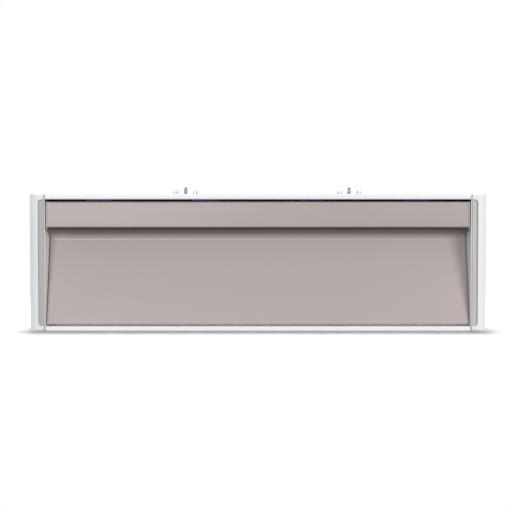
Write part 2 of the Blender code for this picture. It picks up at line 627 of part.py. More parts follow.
def build_flap_ends(taupe, pivot):
    """End plates of the flap, each plugged into the section by two pegs and bored for the rod."""
    to_pivot = Matrix.Translation((0, -(FRONT_Y + AXIS_DEPTH), -AXIS_HEIGHT))
    holes = [circle((AXIS_DEPTH, AXIS_HEIGHT), BORE_RADIUS)]
    middle = FLAP_HALF - END_PLATE_THICKNESS / 2
    for name, side in SIDES:
        mesh = prism_mesh("flap_end", end_plate_outline(), holes, END_PLATE_THICKNESS)
        mesh.transform(Matrix.Translation((side * middle, 0, 0)) @ to_pivot)
        plate = add_object(f"flap_end_{name}", mesh, taupe, parent=pivot)
        for number, (depth, height) in enumerate(port_places(), 1):
            start = side * middle
            end = side * (PANEL_HALF - PEG_LENGTH)
            peg = turned_mesh("peg", [(start, PEG_RADIUS), (end, PEG_RADIUS)], count=16)
            place = (0, depth - AXIS_DEPTH, height - AXIS_HEIGHT)
            boolean(plate, add_object(f"peg_{name}_{number}", peg, None, place, pivot), "UNION")


def build_hinge(steel, navy, nylon, pivot):
    """The rod that swings with the flap, the bushes at its ends and the four clips that carry it."""
    rod_half = PLATE_OUTSIDE + ROD_IN_BUSH
    end_radius = ROD_RADIUS - ROD_CHAMFER
    profile = [(-rod_half, end_radius), (-rod_half + ROD_CHAMFER, ROD_RADIUS)]
    profile += [(rod_half - ROD_CHAMFER, ROD_RADIUS), (rod_half, end_radius)]
    add_object("hinge_rod", turned_mesh("hinge_rod", profile, count=20), steel, parent=pivot)
    axis = (0, FRONT_Y + AXIS_DEPTH, AXIS_HEIGHT)
    outer_end = PLATE_OUTSIDE + BUSH_REACH
    for name, side in SIDES:
        outline = [(PLATE_INSIDE, BORE_RADIUS), (outer_end, BORE_RADIUS), (outer_end, BUSH_RADIUS - FIT_GAP)]
        outline += [(outer_end - FIT_GAP, BUSH_RADIUS), (PLATE_INSIDE, BUSH_RADIUS)]
        mesh = ring_mesh("hinge_bush", [(side * x, radius) for x, radius in outline])
        add_object(f"hinge_bush_{name}", mesh, nylon, axis)
    bore = circle((AXIS_DEPTH, AXIS_HEIGHT), BORE_RADIUS)
    mesh = prism_mesh("hinge_clip", clip_outline(), [bore], CLIP_LENGTH)
    for number, x in enumerate(STATIONS, 1):
        add_object(f"hinge_clip_{number}", mesh, navy, (x, 0, 0))


def clip_outline():
    """Section of a hinge clip: pad under the rail, web behind the flap's sweep, arm and eye."""
    half_arm = CLIP_ARM_HEIGHT / 2
    join = math.degrees(math.asin(half_arm / EYE_RADIUS))
    pad_top = WEB_UNDERSIDE - FIT_GAP
    pad_front = CLIP_BACK - CLIP_PAD_LENGTH
    pad_bottom = pad_top - CLIP_PAD_HEIGHT
    outline = [(CLIP_BACK, AXIS_HEIGHT - half_arm + CLIP_CHAMFER), (CLIP_BACK, pad_top), (pad_front, pad_top)]
    outline += [(pad_front, pad_bottom), (CLIP_FRONT - CLIP_CHAMFER, pad_bottom)]
    outline += [(CLIP_FRONT, pad_bottom - CLIP_CHAMFER), (CLIP_FRONT, AXIS_HEIGHT + half_arm)]
    outline += arc((AXIS_DEPTH, AXIS_HEIGHT), EYE_RADIUS, join, 360 - join, 16)
    outline += [(CLIP_BACK - CLIP_CHAMFER, AXIS_HEIGHT - half_arm)]
    return outline


def spring_points(side):
    """Path of a torsion spring's wire: a leg up behind the band, the coil, a leg back to the ledge."""
    start_x = -side * SPRING_TURNS * SPRING_PITCH / 2
    coils = SPRING_TURNS + 0.25
    steps = SPRING_TURNS * 12 + 3
    lean = AXIS_BEHIND_BAND - FLAP_WALL - SPRING_WIRE_RADIUS - FIT_GAP
    points = [(start_x, -lean, SPRING_LEG_UP), (start_x, -SPRING_COIL_RADIUS, SPRING_LEG_BEND)]
    for index in range(steps + 1):
        share = index / steps
        angle = math.pi + 2 * math.pi * coils * share
        x = start_x + side * SPRING_TURNS * SPRING_PITCH * share
        points.append((x, SPRING_COIL_RADIUS * math.cos(angle), SPRING_COIL_RADIUS * math.sin(angle)))
    leg_end = CLIP_BACK + 2 * FIT_GAP - AXIS_DEPTH
    points.append((points[-1][0], leg_end, -SPRING_COIL_RADIUS))
    return points


def build_springs(steel):
    """Two torsion springs on the rod that pull the flap shut, as poly curves with round wire."""
    for (name, side), x in zip(SIDES, SPRING_STATIONS):
        curve = bpy.data.curves.new("closing_spring", "CURVE")
        curve.dimensions = "3D"
        curve.bevel_depth = SPRING_WIRE_RADIUS
        curve.bevel_resolution = 1
        curve.use_fill_caps = True
        spline = curve.splines.new("POLY")
        points = spring_points(side)
        spline.points.add(len(points) - 1)
        for knot, point in zip(spline.points, points):
            knot.co = (*point, 1.0)
        add_object(f"closing_spring_{name}", curve, steel, (x, FRONT_Y + AXIS_DEPTH, AXIS_HEIGHT))


def build_seal_and_bumpers(black, clear):
    """Draught seal on the front of the clamp channel, and four bumpers behind the flap's lower edge."""
    back = CHANNEL_FRONT - FIT_GAP
    bottom = SPRING_LEDGE_TOP + 2 * SPRING_WIRE_RADIUS + 3 * FIT_GAP
    low = (-RAIL_HALF, FRONT_Y + back - SEAL_THICKNESS, bottom)
    high = (RAIL_HALF, FRONT_Y + back, WEB_UNDERSIDE - FIT_GAP)
    add_object("top_seal", box_mesh("top_seal", low, high), black)
    hem_back = flap_corners(0.0)[4][0]
    front = hem_back + FIT_GAP
    floor = BOTTOM_LIP_HEIGHT + FIT_GAP
    half = BUMPER_LENGTH / 2
    low = (-half, FRONT_Y + front, floor)
    high = (half, FRONT_Y + front + BUMPER_DEPTH, floor + BUMPER_HEIGHT)
    mesh = box_mesh("bumper", low, high)
    for number, x in enumerate(STATIONS, 1):
        bevel(add_object(f"bumper_{number}", mesh, clear, (x, 0, 0)), BUMPER_EDGE_RADIUS)


def clamp_outline():
    """Section of a clamp block: a body in the channel and a neck up through the slot."""
    half_body = CHANNEL_INSIDE / 2 - FIT_GAP
    half_neck = SLOT_WIDTH / 2 - FIT_GAP
    low = FLOOR_TOP + FIT_GAP
    shoulder = WEB_UNDERSIDE - FIT_GAP
    outline = [(CHANNEL_MIDDLE - half_body, low), (CHANNEL_MIDDLE + half_body, low)]
    outline += [(CHANNEL_MIDDLE + half_body, shoulder), (CHANNEL_MIDDLE + half_neck, shoulder)]
    outline += [(CHANNEL_MIDDLE + half_neck, FRAME_HEIGHT), (CHANNEL_MIDDLE - half_neck, FRAME_HEIGHT)]
    outline += [(CHANNEL_MIDDLE - half_neck, shoulder), (CHANNEL_MIDDLE - half_body, shoulder)]
    return outline


def nib_mesh():
    """Tapered nib that stands on a clamp block's neck."""
    bm = bmesh.new()
    half = SLOT_WIDTH / 2 - FIT_GAP
    rings = []
    for height, width, deep in ((-JOIN_OVERLAP, NIB_BASE, half), (NIB_RISE * 0.85, NIB_TOP, half * 0.6),
                                (NIB_RISE, NIB_TOP * 0.6, half * 0.4)):
        corners = [(-width / 2, -deep), (width / 2, -deep), (width / 2, deep), (-width / 2, deep)]
        rings.append([bm.verts.new((x, y, height)) for x, y in corners])
    for first, second in zip(rings, rings[1:]):
        for i in range(4):
            bm.faces.new([first[i], first[(i + 1) % 4], second[(i + 1) % 4], second[i]])
    bm.faces.new(rings[0])
    bm.faces.new(rings[-1])
    return finish_mesh("nib", bm)


def build_clamps(white, brass):
    """Two clamp blocks that slide along the channel, each with a pointed screw standing up through it."""
    middle_y = FRONT_Y + CHANNEL_MIDDLE
    hole_radius = CLAMP_SCREW_RADIUS + FIT_GAP
    bottom = FLOOR_TOP + 2 * FIT_GAP
    top = FRAME_HEIGHT + CLAMP_SCREW_RISE
    neck = top - CLAMP_SCREW_POINT
    profile = [(bottom, CLAMP_SCREW_RADIUS - CLAMP_SCREW_LEAD), (bottom + CLAMP_SCREW_LEAD, CLAMP_SCREW_RADIUS)]
    profile += [(neck, CLAMP_SCREW_RADIUS), (top - CLAMP_SCREW_TIP, CLAMP_SCREW_TIP_RADIUS), (top, 0)]
    for name, place in (("left", CLAMP_LEFT_X), ("right", CLAMP_RIGHT_X)):
        slider = add_object(f"clamp_slider_{name}", None, None, (place, 0, 0))
        mesh = prism_mesh("clamp_block", clamp_outline(), length=CLAMP_LENGTH)
        block = add_object(f"clamp_block_{name}", mesh, white, parent=slider)
        for number, offset in enumerate((-NIB_SPACING / 2, NIB_SPACING / 2), 1):
            spot = (offset, middle_y, FRAME_HEIGHT)
            boolean(block, add_object(f"nib_{name}_{number}", nib_mesh(), None, spot, slider), "UNION")
        hole = turned_mesh("screw_hole", [(0, hole_radius), (2 * FRAME_HEIGHT, hole_radius)], "Z", 20)
        boolean(block, add_object(f"screw_hole_{name}", hole, None, (0, middle_y, 0), slider))
        screw = turned_mesh("clamp_screw", profile, "Z", 20)
        body = add_object(f"clamp_screw_{name}", screw, brass, (0, middle_y, 0), slider)
        ends = (bottom - CUT_OVERRUN, bottom + SOCKET_DEPTH)
        socket = turned_mesh("socket", [(end, SOCKET_RADIUS) for end in ends], "Z", 6)
        boolean(body, add_object(f"hex_socket_{name}", socket, None, (0, middle_y, 0), slider))


def build():
    """Model the whole letter plate."""
    clear_scene()
    white = make_material("white_powder_coat", (0.86, 0.86, 0.88), 0.42)
    cap_white = make_material("white_moulding", (0.84, 0.84, 0.85), 0.50)
    strip_grey = make_material("grey_strip", (0.50, 0.52, 0.50), 0.55)
    plate_grey = make_material("side_plate_grey", (0.62, 0.63, 0.66), 0.45)
    taupe = make_material("taupe_satin", (0.42, 0.37, 0.35), 0.38, 0.6)
    steel = make_material("bright_steel", (0.62, 0.62, 0.62), 0.30, 1.0)
    brass = make_material("brass", (0.62, 0.50, 0.34), 0.35, 1.0)
    navy = make_material("navy_nylon", (0.01, 0.02, 0.09), 0.45)
    nylon = make_material("natural_nylon", (0.80, 0.79, 0.74), 0.50)
    clear = make_material("pale_elastomer", (0.82, 0.81, 0.78), 0.55)
    black = make_material("black_rubber", (0.012, 0.012, 0.013), 0.75)
    build_rails(white)
    build_side_plates(plate_grey)
    build_end_caps(cap_white, strip_grey)
    build_frame_screws(steel)
    pivot = hinge_empty()
    build_flap(taupe, pivot)
    build_flap_ends(taupe, pivot)
    build_hinge(steel, navy, nylon, pivot)
    build_springs(steel)
    build_seal_and_bumpers(black, clear)
    build_clamps(cap_white, brass)


build()
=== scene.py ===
import math
import bpy
import numpy as np
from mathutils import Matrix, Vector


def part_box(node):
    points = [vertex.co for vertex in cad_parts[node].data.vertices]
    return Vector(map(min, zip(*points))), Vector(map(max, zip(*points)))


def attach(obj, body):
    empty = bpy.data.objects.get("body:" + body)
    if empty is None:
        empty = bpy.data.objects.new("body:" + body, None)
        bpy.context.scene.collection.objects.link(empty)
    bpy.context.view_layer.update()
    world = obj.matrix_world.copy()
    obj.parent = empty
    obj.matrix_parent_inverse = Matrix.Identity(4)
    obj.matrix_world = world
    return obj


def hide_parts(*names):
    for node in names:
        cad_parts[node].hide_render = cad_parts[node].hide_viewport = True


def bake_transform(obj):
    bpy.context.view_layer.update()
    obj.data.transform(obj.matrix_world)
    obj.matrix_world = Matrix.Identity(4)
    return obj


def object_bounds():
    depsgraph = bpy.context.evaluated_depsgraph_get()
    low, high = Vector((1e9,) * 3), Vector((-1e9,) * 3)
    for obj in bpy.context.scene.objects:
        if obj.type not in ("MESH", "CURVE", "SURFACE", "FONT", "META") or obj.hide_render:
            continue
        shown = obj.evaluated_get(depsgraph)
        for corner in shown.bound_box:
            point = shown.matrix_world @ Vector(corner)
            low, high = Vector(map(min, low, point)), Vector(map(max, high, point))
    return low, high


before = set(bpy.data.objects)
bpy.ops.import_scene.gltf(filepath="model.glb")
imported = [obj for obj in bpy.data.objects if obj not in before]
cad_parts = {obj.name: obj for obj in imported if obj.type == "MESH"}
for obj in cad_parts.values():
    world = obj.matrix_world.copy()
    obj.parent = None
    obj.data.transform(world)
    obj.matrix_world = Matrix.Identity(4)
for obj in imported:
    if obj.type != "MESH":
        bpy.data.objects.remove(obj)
cad_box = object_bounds()

# ---------------------------------------------------------------------------------------------------
# Studio: a pale floor under a white sky, a soft light overhead, two soft boxes in front, one behind.
# The camera stands in front of the plate's middle, at about two thirds of its height, and looks very
# slightly down at it. The front boxes are flagged off the floor, and one lamp lights the floor alone.
# ---------------------------------------------------------------------------------------------------
plate_front = cad_box[0][1]
camera_distance = 0.700
camera_height = 0.0726
camera_right = -0.0014
camera_dip = 1.5

scene = bpy.context.scene
scene.view_settings.view_transform = "Standard"
scene.view_settings.look = "None"
scene.render.film_transparent = False

camera_data = bpy.data.cameras.new("studio_camera")
camera_data.lens = 68.13
camera_data.sensor_width = 36.0
camera_data.clip_start = 0.01
camera = bpy.data.objects.new("studio_camera", camera_data)
camera.location = (camera_right, plate_front - camera_distance, camera_height)
camera.rotation_euler = (math.radians(90.0 - camera_dip), 0.0, 0.0)
scene.collection.objects.link(camera)
scene.camera = camera

world = bpy.data.worlds.new("white_sky")
world.use_nodes = True
sky = world.node_tree
sky_way = sky.nodes.new("ShaderNodeTexCoord")
sky_axes = sky.nodes.new("ShaderNodeSeparateXYZ")
sky.links.new(sky_way.outputs["Generated"], sky_axes.inputs["Vector"])
sky_height = sky.nodes.new("ShaderNodeMapRange")
sky_height.inputs["From Min"].default_value = -1.0
sky.links.new(sky_axes.outputs["Z"], sky_height.inputs["Value"])
sky_ramp = sky.nodes.new("ShaderNodeValToRGB")
for stop, (place, grey) in enumerate(((0.46, 0.10), (0.51, 0.62), (0.70, 0.54), (0.84, 0.36))):
    knot = sky_ramp.color_ramp.elements[stop] if stop < 2 else sky_ramp.color_ramp.elements.new(place)
    knot.position = place
    knot.color = (grey, grey, grey, 1.0)
sky.links.new(sky_height.outputs["Result"], sky_ramp.inputs["Fac"])
sky_front = sky.nodes.new("ShaderNodeMapRange")
sky_front.inputs["From Min"].default_value = -0.2
sky_front.inputs["From Max"].default_value = 0.6
sky_front.inputs["To Min"].default_value = 1.0
sky_front.inputs["To Max"].default_value = 0.40
sky.links.new(sky_axes.outputs["Y"], sky_front.inputs["Value"])
sky_light = sky.nodes["Background"]
sky.links.new(sky_ramp.outputs["Color"], sky_light.inputs["Color"])
sky.links.new(sky_front.outputs["Result"], sky_light.inputs["Strength"])
sky_white = sky.nodes.new("ShaderNodeBackground")
sky_white.inputs["Color"].default_value = (1.0, 1.0, 1.0, 1.0)
sky_path = sky.nodes.new("ShaderNodeLightPath")
sky_mix = sky.nodes.new("ShaderNodeMixShader")
sky.links.new(sky_path.outputs["Is Camera Ray"], sky_mix.inputs["Fac"])
sky.links.new(sky_light.outputs["Background"], sky_mix.inputs[1])
sky.links.new(sky_white.outputs["Background"], sky_mix.inputs[2])
sky.links.new(sky_mix.outputs["Shader"], sky.nodes["World Output"].inputs["Surface"])
scene.world = world


def soft_box(name, place, target, size, watts, colour):
    """Add a rectangular area light at a place, turned to face a target point."""
    light = bpy.data.lights.new(name, "AREA")
    light.shape = "RECTANGLE"
    light.size, light.size_y = size
    light.energy = watts
    light.color = colour
    lamp = bpy.data.objects.new(name, light)
    lamp.location = place
    aim = np.array(target) - np.array(place)
    lamp.rotation_euler = (
        math.atan2(math.hypot(aim[0], aim[1]), -aim[2]),
        0.0,
        math.atan2(aim[1], aim[0]) - math.pi / 2,
    )
    lamp.visible_camera = False
    scene.collection.objects.link(lamp)
    return lamp


soft_box("top_box", (0.0, 0.30, 1.28), (0.0, 0.0, 0.0), (0.45, 0.45), 14.0, (1.0, 1.0, 1.0))
left_box = soft_box(
    "left_box", (-0.48, -1.70, 0.14), (-0.05, 0.0, 0.05), (0.8, 0.4), 10.0, (0.94, 0.965, 1.0))
right_box = soft_box(
    "right_box", (1.05, -1.40, 0.18), (0.10, 0.0, 0.05), (0.7, 0.5), 12.0, (1.0, 0.985, 0.97))
soft_box("back_box", (-0.80, 1.30, 0.60), (0.0, 0.0, 0.05), (0.9, 0.9), 5.0, (1.0, 1.0, 1.0))


def material_with(name, colour, roughness, metallic=0.0):
    """Start a node material: return it with its node tree and its Principled shader."""
    material = bpy.data.materials.new(name)
    material.use_nodes = True
    tree = material.node_tree
    shader = tree.nodes["Principled BSDF"]
    shader.inputs["Base Color"].default_value = (*colour, 1.0)
    shader.inputs["Roughness"].default_value = roughness
    shader.inputs["Metallic"].default_value = metallic
    return material, tree, shader


def noise_on(tree, scale, detail=2.0, stretch=(1.0, 1.0, 1.0), roughness=0.5):
    """Noise read from object coordinates, its pattern stretched along each axis. Return its factor."""
    coordinates = tree.nodes.new("ShaderNodeTexCoord")
    mapping = tree.nodes.new("ShaderNodeMapping")
    mapping.inputs["Scale"].default_value = stretch
    noise = tree.nodes.new("ShaderNodeTexNoise")
    noise.inputs["Scale"].default_value = scale
    noise.inputs["Detail"].default_value = detail
    noise.inputs["Roughness"].default_value = roughness
    tree.links.new(coordinates.outputs["Object"], mapping.inputs["Vector"])
    tree.links.new(mapping.outputs["Vector"], noise.inputs["Vector"])
    return noise.outputs["Fac"]


def two_tones(tree, factor, dark, light, low=0.3, high=0.7):
    """Colour that runs from dark to light as the factor runs from low to high."""
    ramp = tree.nodes.new("ShaderNodeValToRGB")
    ramp.color_ramp.elements[0].position = low
    ramp.color_ramp.elements[0].color = (*dark, 1.0)
    ramp.color_ramp.elements[1].position = high
    ramp.color_ramp.elements[1].color = (*light, 1.0)
    tree.links.new(factor, ramp.inputs["Fac"])
    return ramp.outputs["Color"]


def spread(tree, factor, low, high):
    """Number that runs from low to high as the factor runs from 0 to 1."""
    mapped = tree.nodes.new("ShaderNodeMapRange")
    mapped.inputs["To Min"].default_value = low
    mapped.inputs["To Max"].default_value = high
    tree.links.new(factor, mapped.inputs["Value"])
    return mapped.outputs["Result"]


def toned_along(tree, colour, axis, stops, low, high):
    """Colour times a grey that follows (position, grey) stops along one object axis, low to high."""
    place = tree.nodes.new("ShaderNodeTexCoord")
    axes = tree.nodes.new("ShaderNodeSeparateXYZ")
    share = tree.nodes.new("ShaderNodeMapRange")
    share.inputs["From Min"].default_value = low
    share.inputs["From Max"].default_value = high
    ramp = tree.nodes.new("ShaderNodeValToRGB")
    while len(ramp.color_ramp.elements) < len(stops):
        ramp.color_ramp.elements.new(0.5)
    for element, (position, grey) in zip(ramp.color_ramp.elements, stops):
        element.position = (position - low) / (high - low)
    for element, (position, grey) in zip(ramp.color_ramp.elements, stops):
        element.color = (grey, grey, grey, 1.0)
    product = tree.nodes.new("ShaderNodeMix")
    product.data_type = "RGBA"
    product.blend_type = "MULTIPLY"
    product.inputs["Factor"].default_value = 1.0
    tree.links.new(place.outputs["Object"], axes.inputs["Vector"])
    tree.links.new(axes.outputs[axis], share.inputs["Value"])
    tree.links.new(share.outputs["Result"], ramp.inputs["Fac"])
    tree.links.new(colour, product.inputs["A"])
    tree.links.new(ramp.outputs["Color"], product.inputs["B"])
    return product.outputs["Result"]


def raise_bump(tree, shader, height, strength, distance, below=None):
    """Tilt the shader's normal by a height, on top of an earlier bump if one is given."""
    bump = tree.nodes.new("ShaderNodeBump")
    bump.inputs["Strength"].default_value = strength
    bump.inputs["Distance"].default_value = distance
    tree.links.new(height, bump.inputs["Height"])
    if below is not None:
        tree.links.new(below.outputs["Normal"], bump.inputs["Normal"])
    tree.links.new(bump.outputs["Normal"], shader.inputs["Normal"])
    return bump


floor_paint, floor_tree, floor_shader = material_with("floor_paint", (0.96, 0.96, 0.96), 0.9)
floor_fade_from = 0.26
floor_fade_to = 0.46
floor_tree.links.new(
    two_tones(floor_tree, noise_on(floor_tree, 40.0, 3.0), (0.955, 0.955, 0.955), (0.965, 0.965, 0.965)),
    floor_shader.inputs["Base Color"])
floor_shader.inputs["Specular IOR Level"].default_value = 0.0
floor_place = floor_tree.nodes.new("ShaderNodeTexCoord")
floor_radius = floor_tree.nodes.new("ShaderNodeVectorMath")
floor_radius.operation = "LENGTH"
floor_fade = floor_tree.nodes.new("ShaderNodeMapRange")
floor_fade.interpolation_type = "SMOOTHSTEP"
floor_fade.inputs["From Min"].default_value = floor_fade_from
floor_fade.inputs["From Max"].default_value = floor_fade_to
floor_clear = floor_tree.nodes.new("ShaderNodeBsdfTransparent")
floor_mix = floor_tree.nodes.new("ShaderNodeMixShader")
floor_tree.links.new(floor_place.outputs["Object"], floor_radius.inputs[0])
floor_tree.links.new(floor_radius.outputs["Value"], floor_fade.inputs["Value"])
floor_tree.links.new(floor_fade.outputs["Result"], floor_mix.inputs["Fac"])
floor_tree.links.new(floor_shader.outputs["BSDF"], floor_mix.inputs[1])
floor_tree.links.new(floor_clear.outputs["BSDF"], floor_mix.inputs[2])
floor_tree.links.new(floor_mix.outputs["Shader"], floor_tree.nodes["Material Output"].inputs["Surface"])
floor_mesh = bpy.data.meshes.new("studio_floor")
floor_reach = 0.5
floor_level = cad_box[0][2]
floor_mesh.from_pydata(
    [(-floor_reach, -floor_reach, 0.0), (floor_reach, -floor_reach, 0.0),
     (floor_reach, floor_reach, 0.0), (-floor_reach, floor_reach, 0.0)],
    [], [(0, 1, 2, 3)])
floor_mesh.materials.append(floor_paint)
floor = bpy.data.objects.new("studio_floor", floor_mesh)
floor.location = (0.0, 0.0, floor_level)
floor.visible_diffuse = False
floor.visible_glossy = False
floor.visible_shadow = False
scene.collection.objects.link(floor)
flagged_off = bpy.data.collections.new("flagged_off_floor")
flagged_off.objects.link(floor)
flagged_off.collection_objects[0].light_linking.link_state = "EXCLUDE"
for front_box in (left_box, right_box):
    front_box.light_linking.receiver_collection = flagged_off
lit_floor = bpy.data.collections.new("lit_floor")
lit_floor.objects.link(floor)
floor_box = soft_box("floor_box", (0.0, 0.42, 1.26), (0.0, 0.0, 0.0), (0.60, 0.60), 15.0, (1.0, 1.0, 1.0))
floor_box.light_linking.receiver_collection = lit_floor


# ---------------------------------------------------------------------------------------------------
# Rails: two extruded aluminium profiles, white powder coat baked over sawn ends. The top one carries
# the clamp channel and the hinge clips; the bottom one stands on three feet. They run between the
# side plates and are held by screws in their round ports.
# ---------------------------------------------------------------------------------------------------
def white_coat(name, dark, light):
    """White powder coat: orange peel a fifth of a millimetre across over a slow change of tone."""
    material, tree, shader = material_with(name, light, 0.36)
    slow = noise_on(tree, 18.0, 2.0)
    peel = noise_on(tree, 900.0, 2.0)
    grain = noise_on(tree, 3600.0, 1.0)
    tree.links.new(two_tones(tree, slow, dark, light), shader.inputs["Base Color"])
    tree.links.new(spread(tree, peel, 0.30, 0.46), shader.inputs["Roughness"])
    first = raise_bump(tree, shader, peel, 0.10, 0.0002)
    raise_bump(tree, shader, grain, 0.06, 0.00005, first)
    return material


def soften(piece, width, segments=2, angle=35.0):
    """Join a CAD node's loose triangles for display and round its sharp edges."""
    weld = piece.modifiers.new("joined_corners", "WELD")
    weld.merge_threshold = 0.000001
    edge = piece.modifiers.new("eased_edges", "BEVEL")
    edge.width = width
    edge.segments = segments
    edge.limit_method = "ANGLE"
    edge.angle_limit = math.radians(angle)
    edge.harden_normals = False


def dress(node, material):
    """Give a CAD node its finish."""
    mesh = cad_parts[node].data
    mesh.materials.clear()
    mesh.materials.append(material)
    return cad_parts[node]


rail_coat = white_coat("rail_powder_coat", (0.925, 0.912, 0.962), (0.942, 0.930, 0.975))
for rail_node in ("top_rail", "bottom_rail"):
    soften(dress(rail_node, rail_coat), 0.00018)

# ---------------------------------------------------------------------------------------------------
# Side plates: thin white sheet, with a duller grey tone along its front edge.
# They close the rails' ends, line the opening beside the flap and show as a fine line by each cap.
# A near-black tone is painted over the height of the gap above the flap, in place of its shade.
# ---------------------------------------------------------------------------------------------------
plate_coat, plate_tree, plate_shader = material_with("side_plate_coat", (0.80, 0.80, 0.82), 0.42)
plate_slow = noise_on(plate_tree, 30.0, 3.0)
plate_grain = noise_on(plate_tree, 2600.0, 2.0)
plate_sheet = two_tones(plate_tree, plate_slow, (0.88, 0.88, 0.90), (0.92, 0.92, 0.94))
plate_place = plate_tree.nodes.new("ShaderNodeTexCoord")
plate_axes = plate_tree.nodes.new("ShaderNodeSeparateXYZ")
plate_edge = plate_tree.nodes.new("ShaderNodeMapRange")
plate_edge.inputs["From Min"].default_value = plate_front + 0.0004
plate_edge.inputs["From Max"].default_value = plate_front + 0.0008
plate_mix = plate_tree.nodes.new("ShaderNodeMix")
plate_mix.data_type = "RGBA"
plate_mix.inputs["A"].default_value = (0.66, 0.665, 0.62, 1.0)
plate_tree.links.new(plate_place.outputs["Object"], plate_axes.inputs["Vector"])
plate_tree.links.new(plate_axes.outputs["Y"], plate_edge.inputs["Value"])
plate_tree.links.new(plate_edge.outputs["Result"], plate_mix.inputs["Factor"])
gap_tone = 0.03
gap_tones = [(0.0925, 1.0), (0.0933, gap_tone), (0.0954, gap_tone), (0.0958, 1.0)]
plate_sheet = toned_along(plate_tree, plate_sheet, "Z", gap_tones, 0.09, 0.1)
plate_tree.links.new(plate_sheet, plate_mix.inputs["B"])
plate_tree.links.new(plate_mix.outputs["Result"], plate_shader.inputs["Base Color"])
plate_tree.links.new(spread(plate_tree, plate_grain, 0.36, 0.48), plate_shader.inputs["Roughness"])
raise_bump(plate_tree, plate_shader, plate_grain, 0.06, 0.00006)
for side_name in ("left", "right"):
    dress(f"side_plate_{side_name}", plate_coat)


# ---------------------------------------------------------------------------------------------------
# End caps: white moulded covers, hollow behind, that snap over the side plates and hide the frame
# screws. Edges are rounded, and the front has a raised rim round a pocket with round outer corners.
# ---------------------------------------------------------------------------------------------------
def piece_from_grid(name, points, wrap_u=False, wrap_v=False, cap_ends=False):
    """Surface through a grid of points (rows, columns, xyz). wrap_u joins the last row to the first,
    wrap_v the last column to the first, and cap_ends closes the first and last rows with flat faces."""
    rows, columns = points.shape[:2]
    index = np.arange(rows * columns).reshape(rows, columns)
    row_from = index if wrap_u else index[:-1]
    row_to = np.roll(index, -1, axis=0) if wrap_u else index[1:]
    if wrap_v:
        corners = [row_from, np.roll(row_from, -1, axis=1), np.roll(row_to, -1, axis=1), row_to]
    else:
        corners = [row_from[:, :-1], row_from[:, 1:], row_to[:, 1:], row_to[:, :-1]]
    quads = np.stack(corners, axis=-1).reshape(-1, 4)
    faces = quads.tolist()
    if cap_ends:
        faces.append(index[0][::-1].tolist())
        faces.append(index[-1].tolist())
    mesh = bpy.data.meshes.new(name)
    mesh.from_pydata(points.reshape(-1, 3).tolist(), [], faces)
    mesh.validate()
    piece = bpy.data.objects.new(name, mesh)
    scene.collection.objects.link(piece)
    return piece


def face_outwards(piece, angle=32.0):
    """Point a closed piece's faces outwards and shade it smooth with its sharp corners kept."""
    mesh = piece.data
    corners = np.empty(len(mesh.vertices) * 3)
    mesh.vertices.foreach_get("co", corners)
    corners = corners.reshape(-1, 3)
    mesh.calc_loop_triangles()
    triangles = np.empty(len(mesh.loop_triangles) * 3, dtype=np.int64)
    mesh.loop_triangles.foreach_get("vertices", triangles)
    a, b, c = (corners[triangles.reshape(-1, 3)[:, k]] for k in range(3))
    if np.einsum("ij,ij->i", a, np.cross(b, c)).sum() < 0:
        mesh.flip_normals()
    mesh.shade_smooth()
    mesh.set_sharp_from_angle(angle=math.radians(angle))
    return piece


def ease(piece, width, segments=3, angle=40.0):
    """Round a finished piece's sharp edges."""
    edge = piece.modifiers.new("eased_edges", "BEVEL")
    edge.width = width
    edge.segments = segments
    edge.limit_method = "ANGLE"
    edge.angle_limit = math.radians(angle)


def join_finish(piece, material, body, slot, *nodes):
    """Give a piece its material and its body, and hide the CAD nodes that it stands for. The slot is not
    used.
    """
    piece.data.materials.append(material)
    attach(piece, body)
    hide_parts(*nodes)
    return piece


def rounded_rectangle(half_y, half_z, radius, arc_points=10):
    """Points round a rectangle whose four corners are quarter circles, as (y, z) columns."""
    turns = np.linspace(0.0, math.pi / 2, arc_points)
    quarter = np.arange(4)[:, None] * math.pi / 2 + turns[None, :]
    centre_y = np.array([1, -1, -1, 1])[:, None] * (half_y - radius)
    centre_z = np.array([1, 1, -1, -1])[:, None] * (half_z - radius)
    y = centre_y + radius * np.cos(quarter)
    z = centre_z + radius * np.sin(quarter)
    return np.stack([y.ravel(), z.ravel()], axis=-1)


def cut_with(piece, tool):
    """Cut a tool's volume out of a piece and drop the tool, leaving the result in the mesh."""
    modifier = piece.modifiers.new("cut", "BOOLEAN")
    modifier.operation = "DIFFERENCE"
    modifier.solver = "EXACT"
    modifier.object = tool
    bpy.context.view_layer.update()
    evaluated = piece.evaluated_get(bpy.context.evaluated_depsgraph_get())
    mesh = bpy.data.meshes.new_from_object(evaluated)
    piece.modifiers.clear()
    piece.data = mesh
    bpy.data.objects.remove(tool, do_unlink=True)


def box_piece(name, low, high):
    """Plain box between two corners, used as a cutting tool."""
    x, y, z = ([low[k], high[k]] for k in range(3))
    ring = np.array([[y[0], z[0]], [y[1], z[0]], [y[1], z[1]], [y[0], z[1]]])
    rows = [np.column_stack([np.full(4, value), ring]) for value in x]
    return face_outwards(piece_from_grid(name, np.array(rows), wrap_v=True, cap_ends=True))


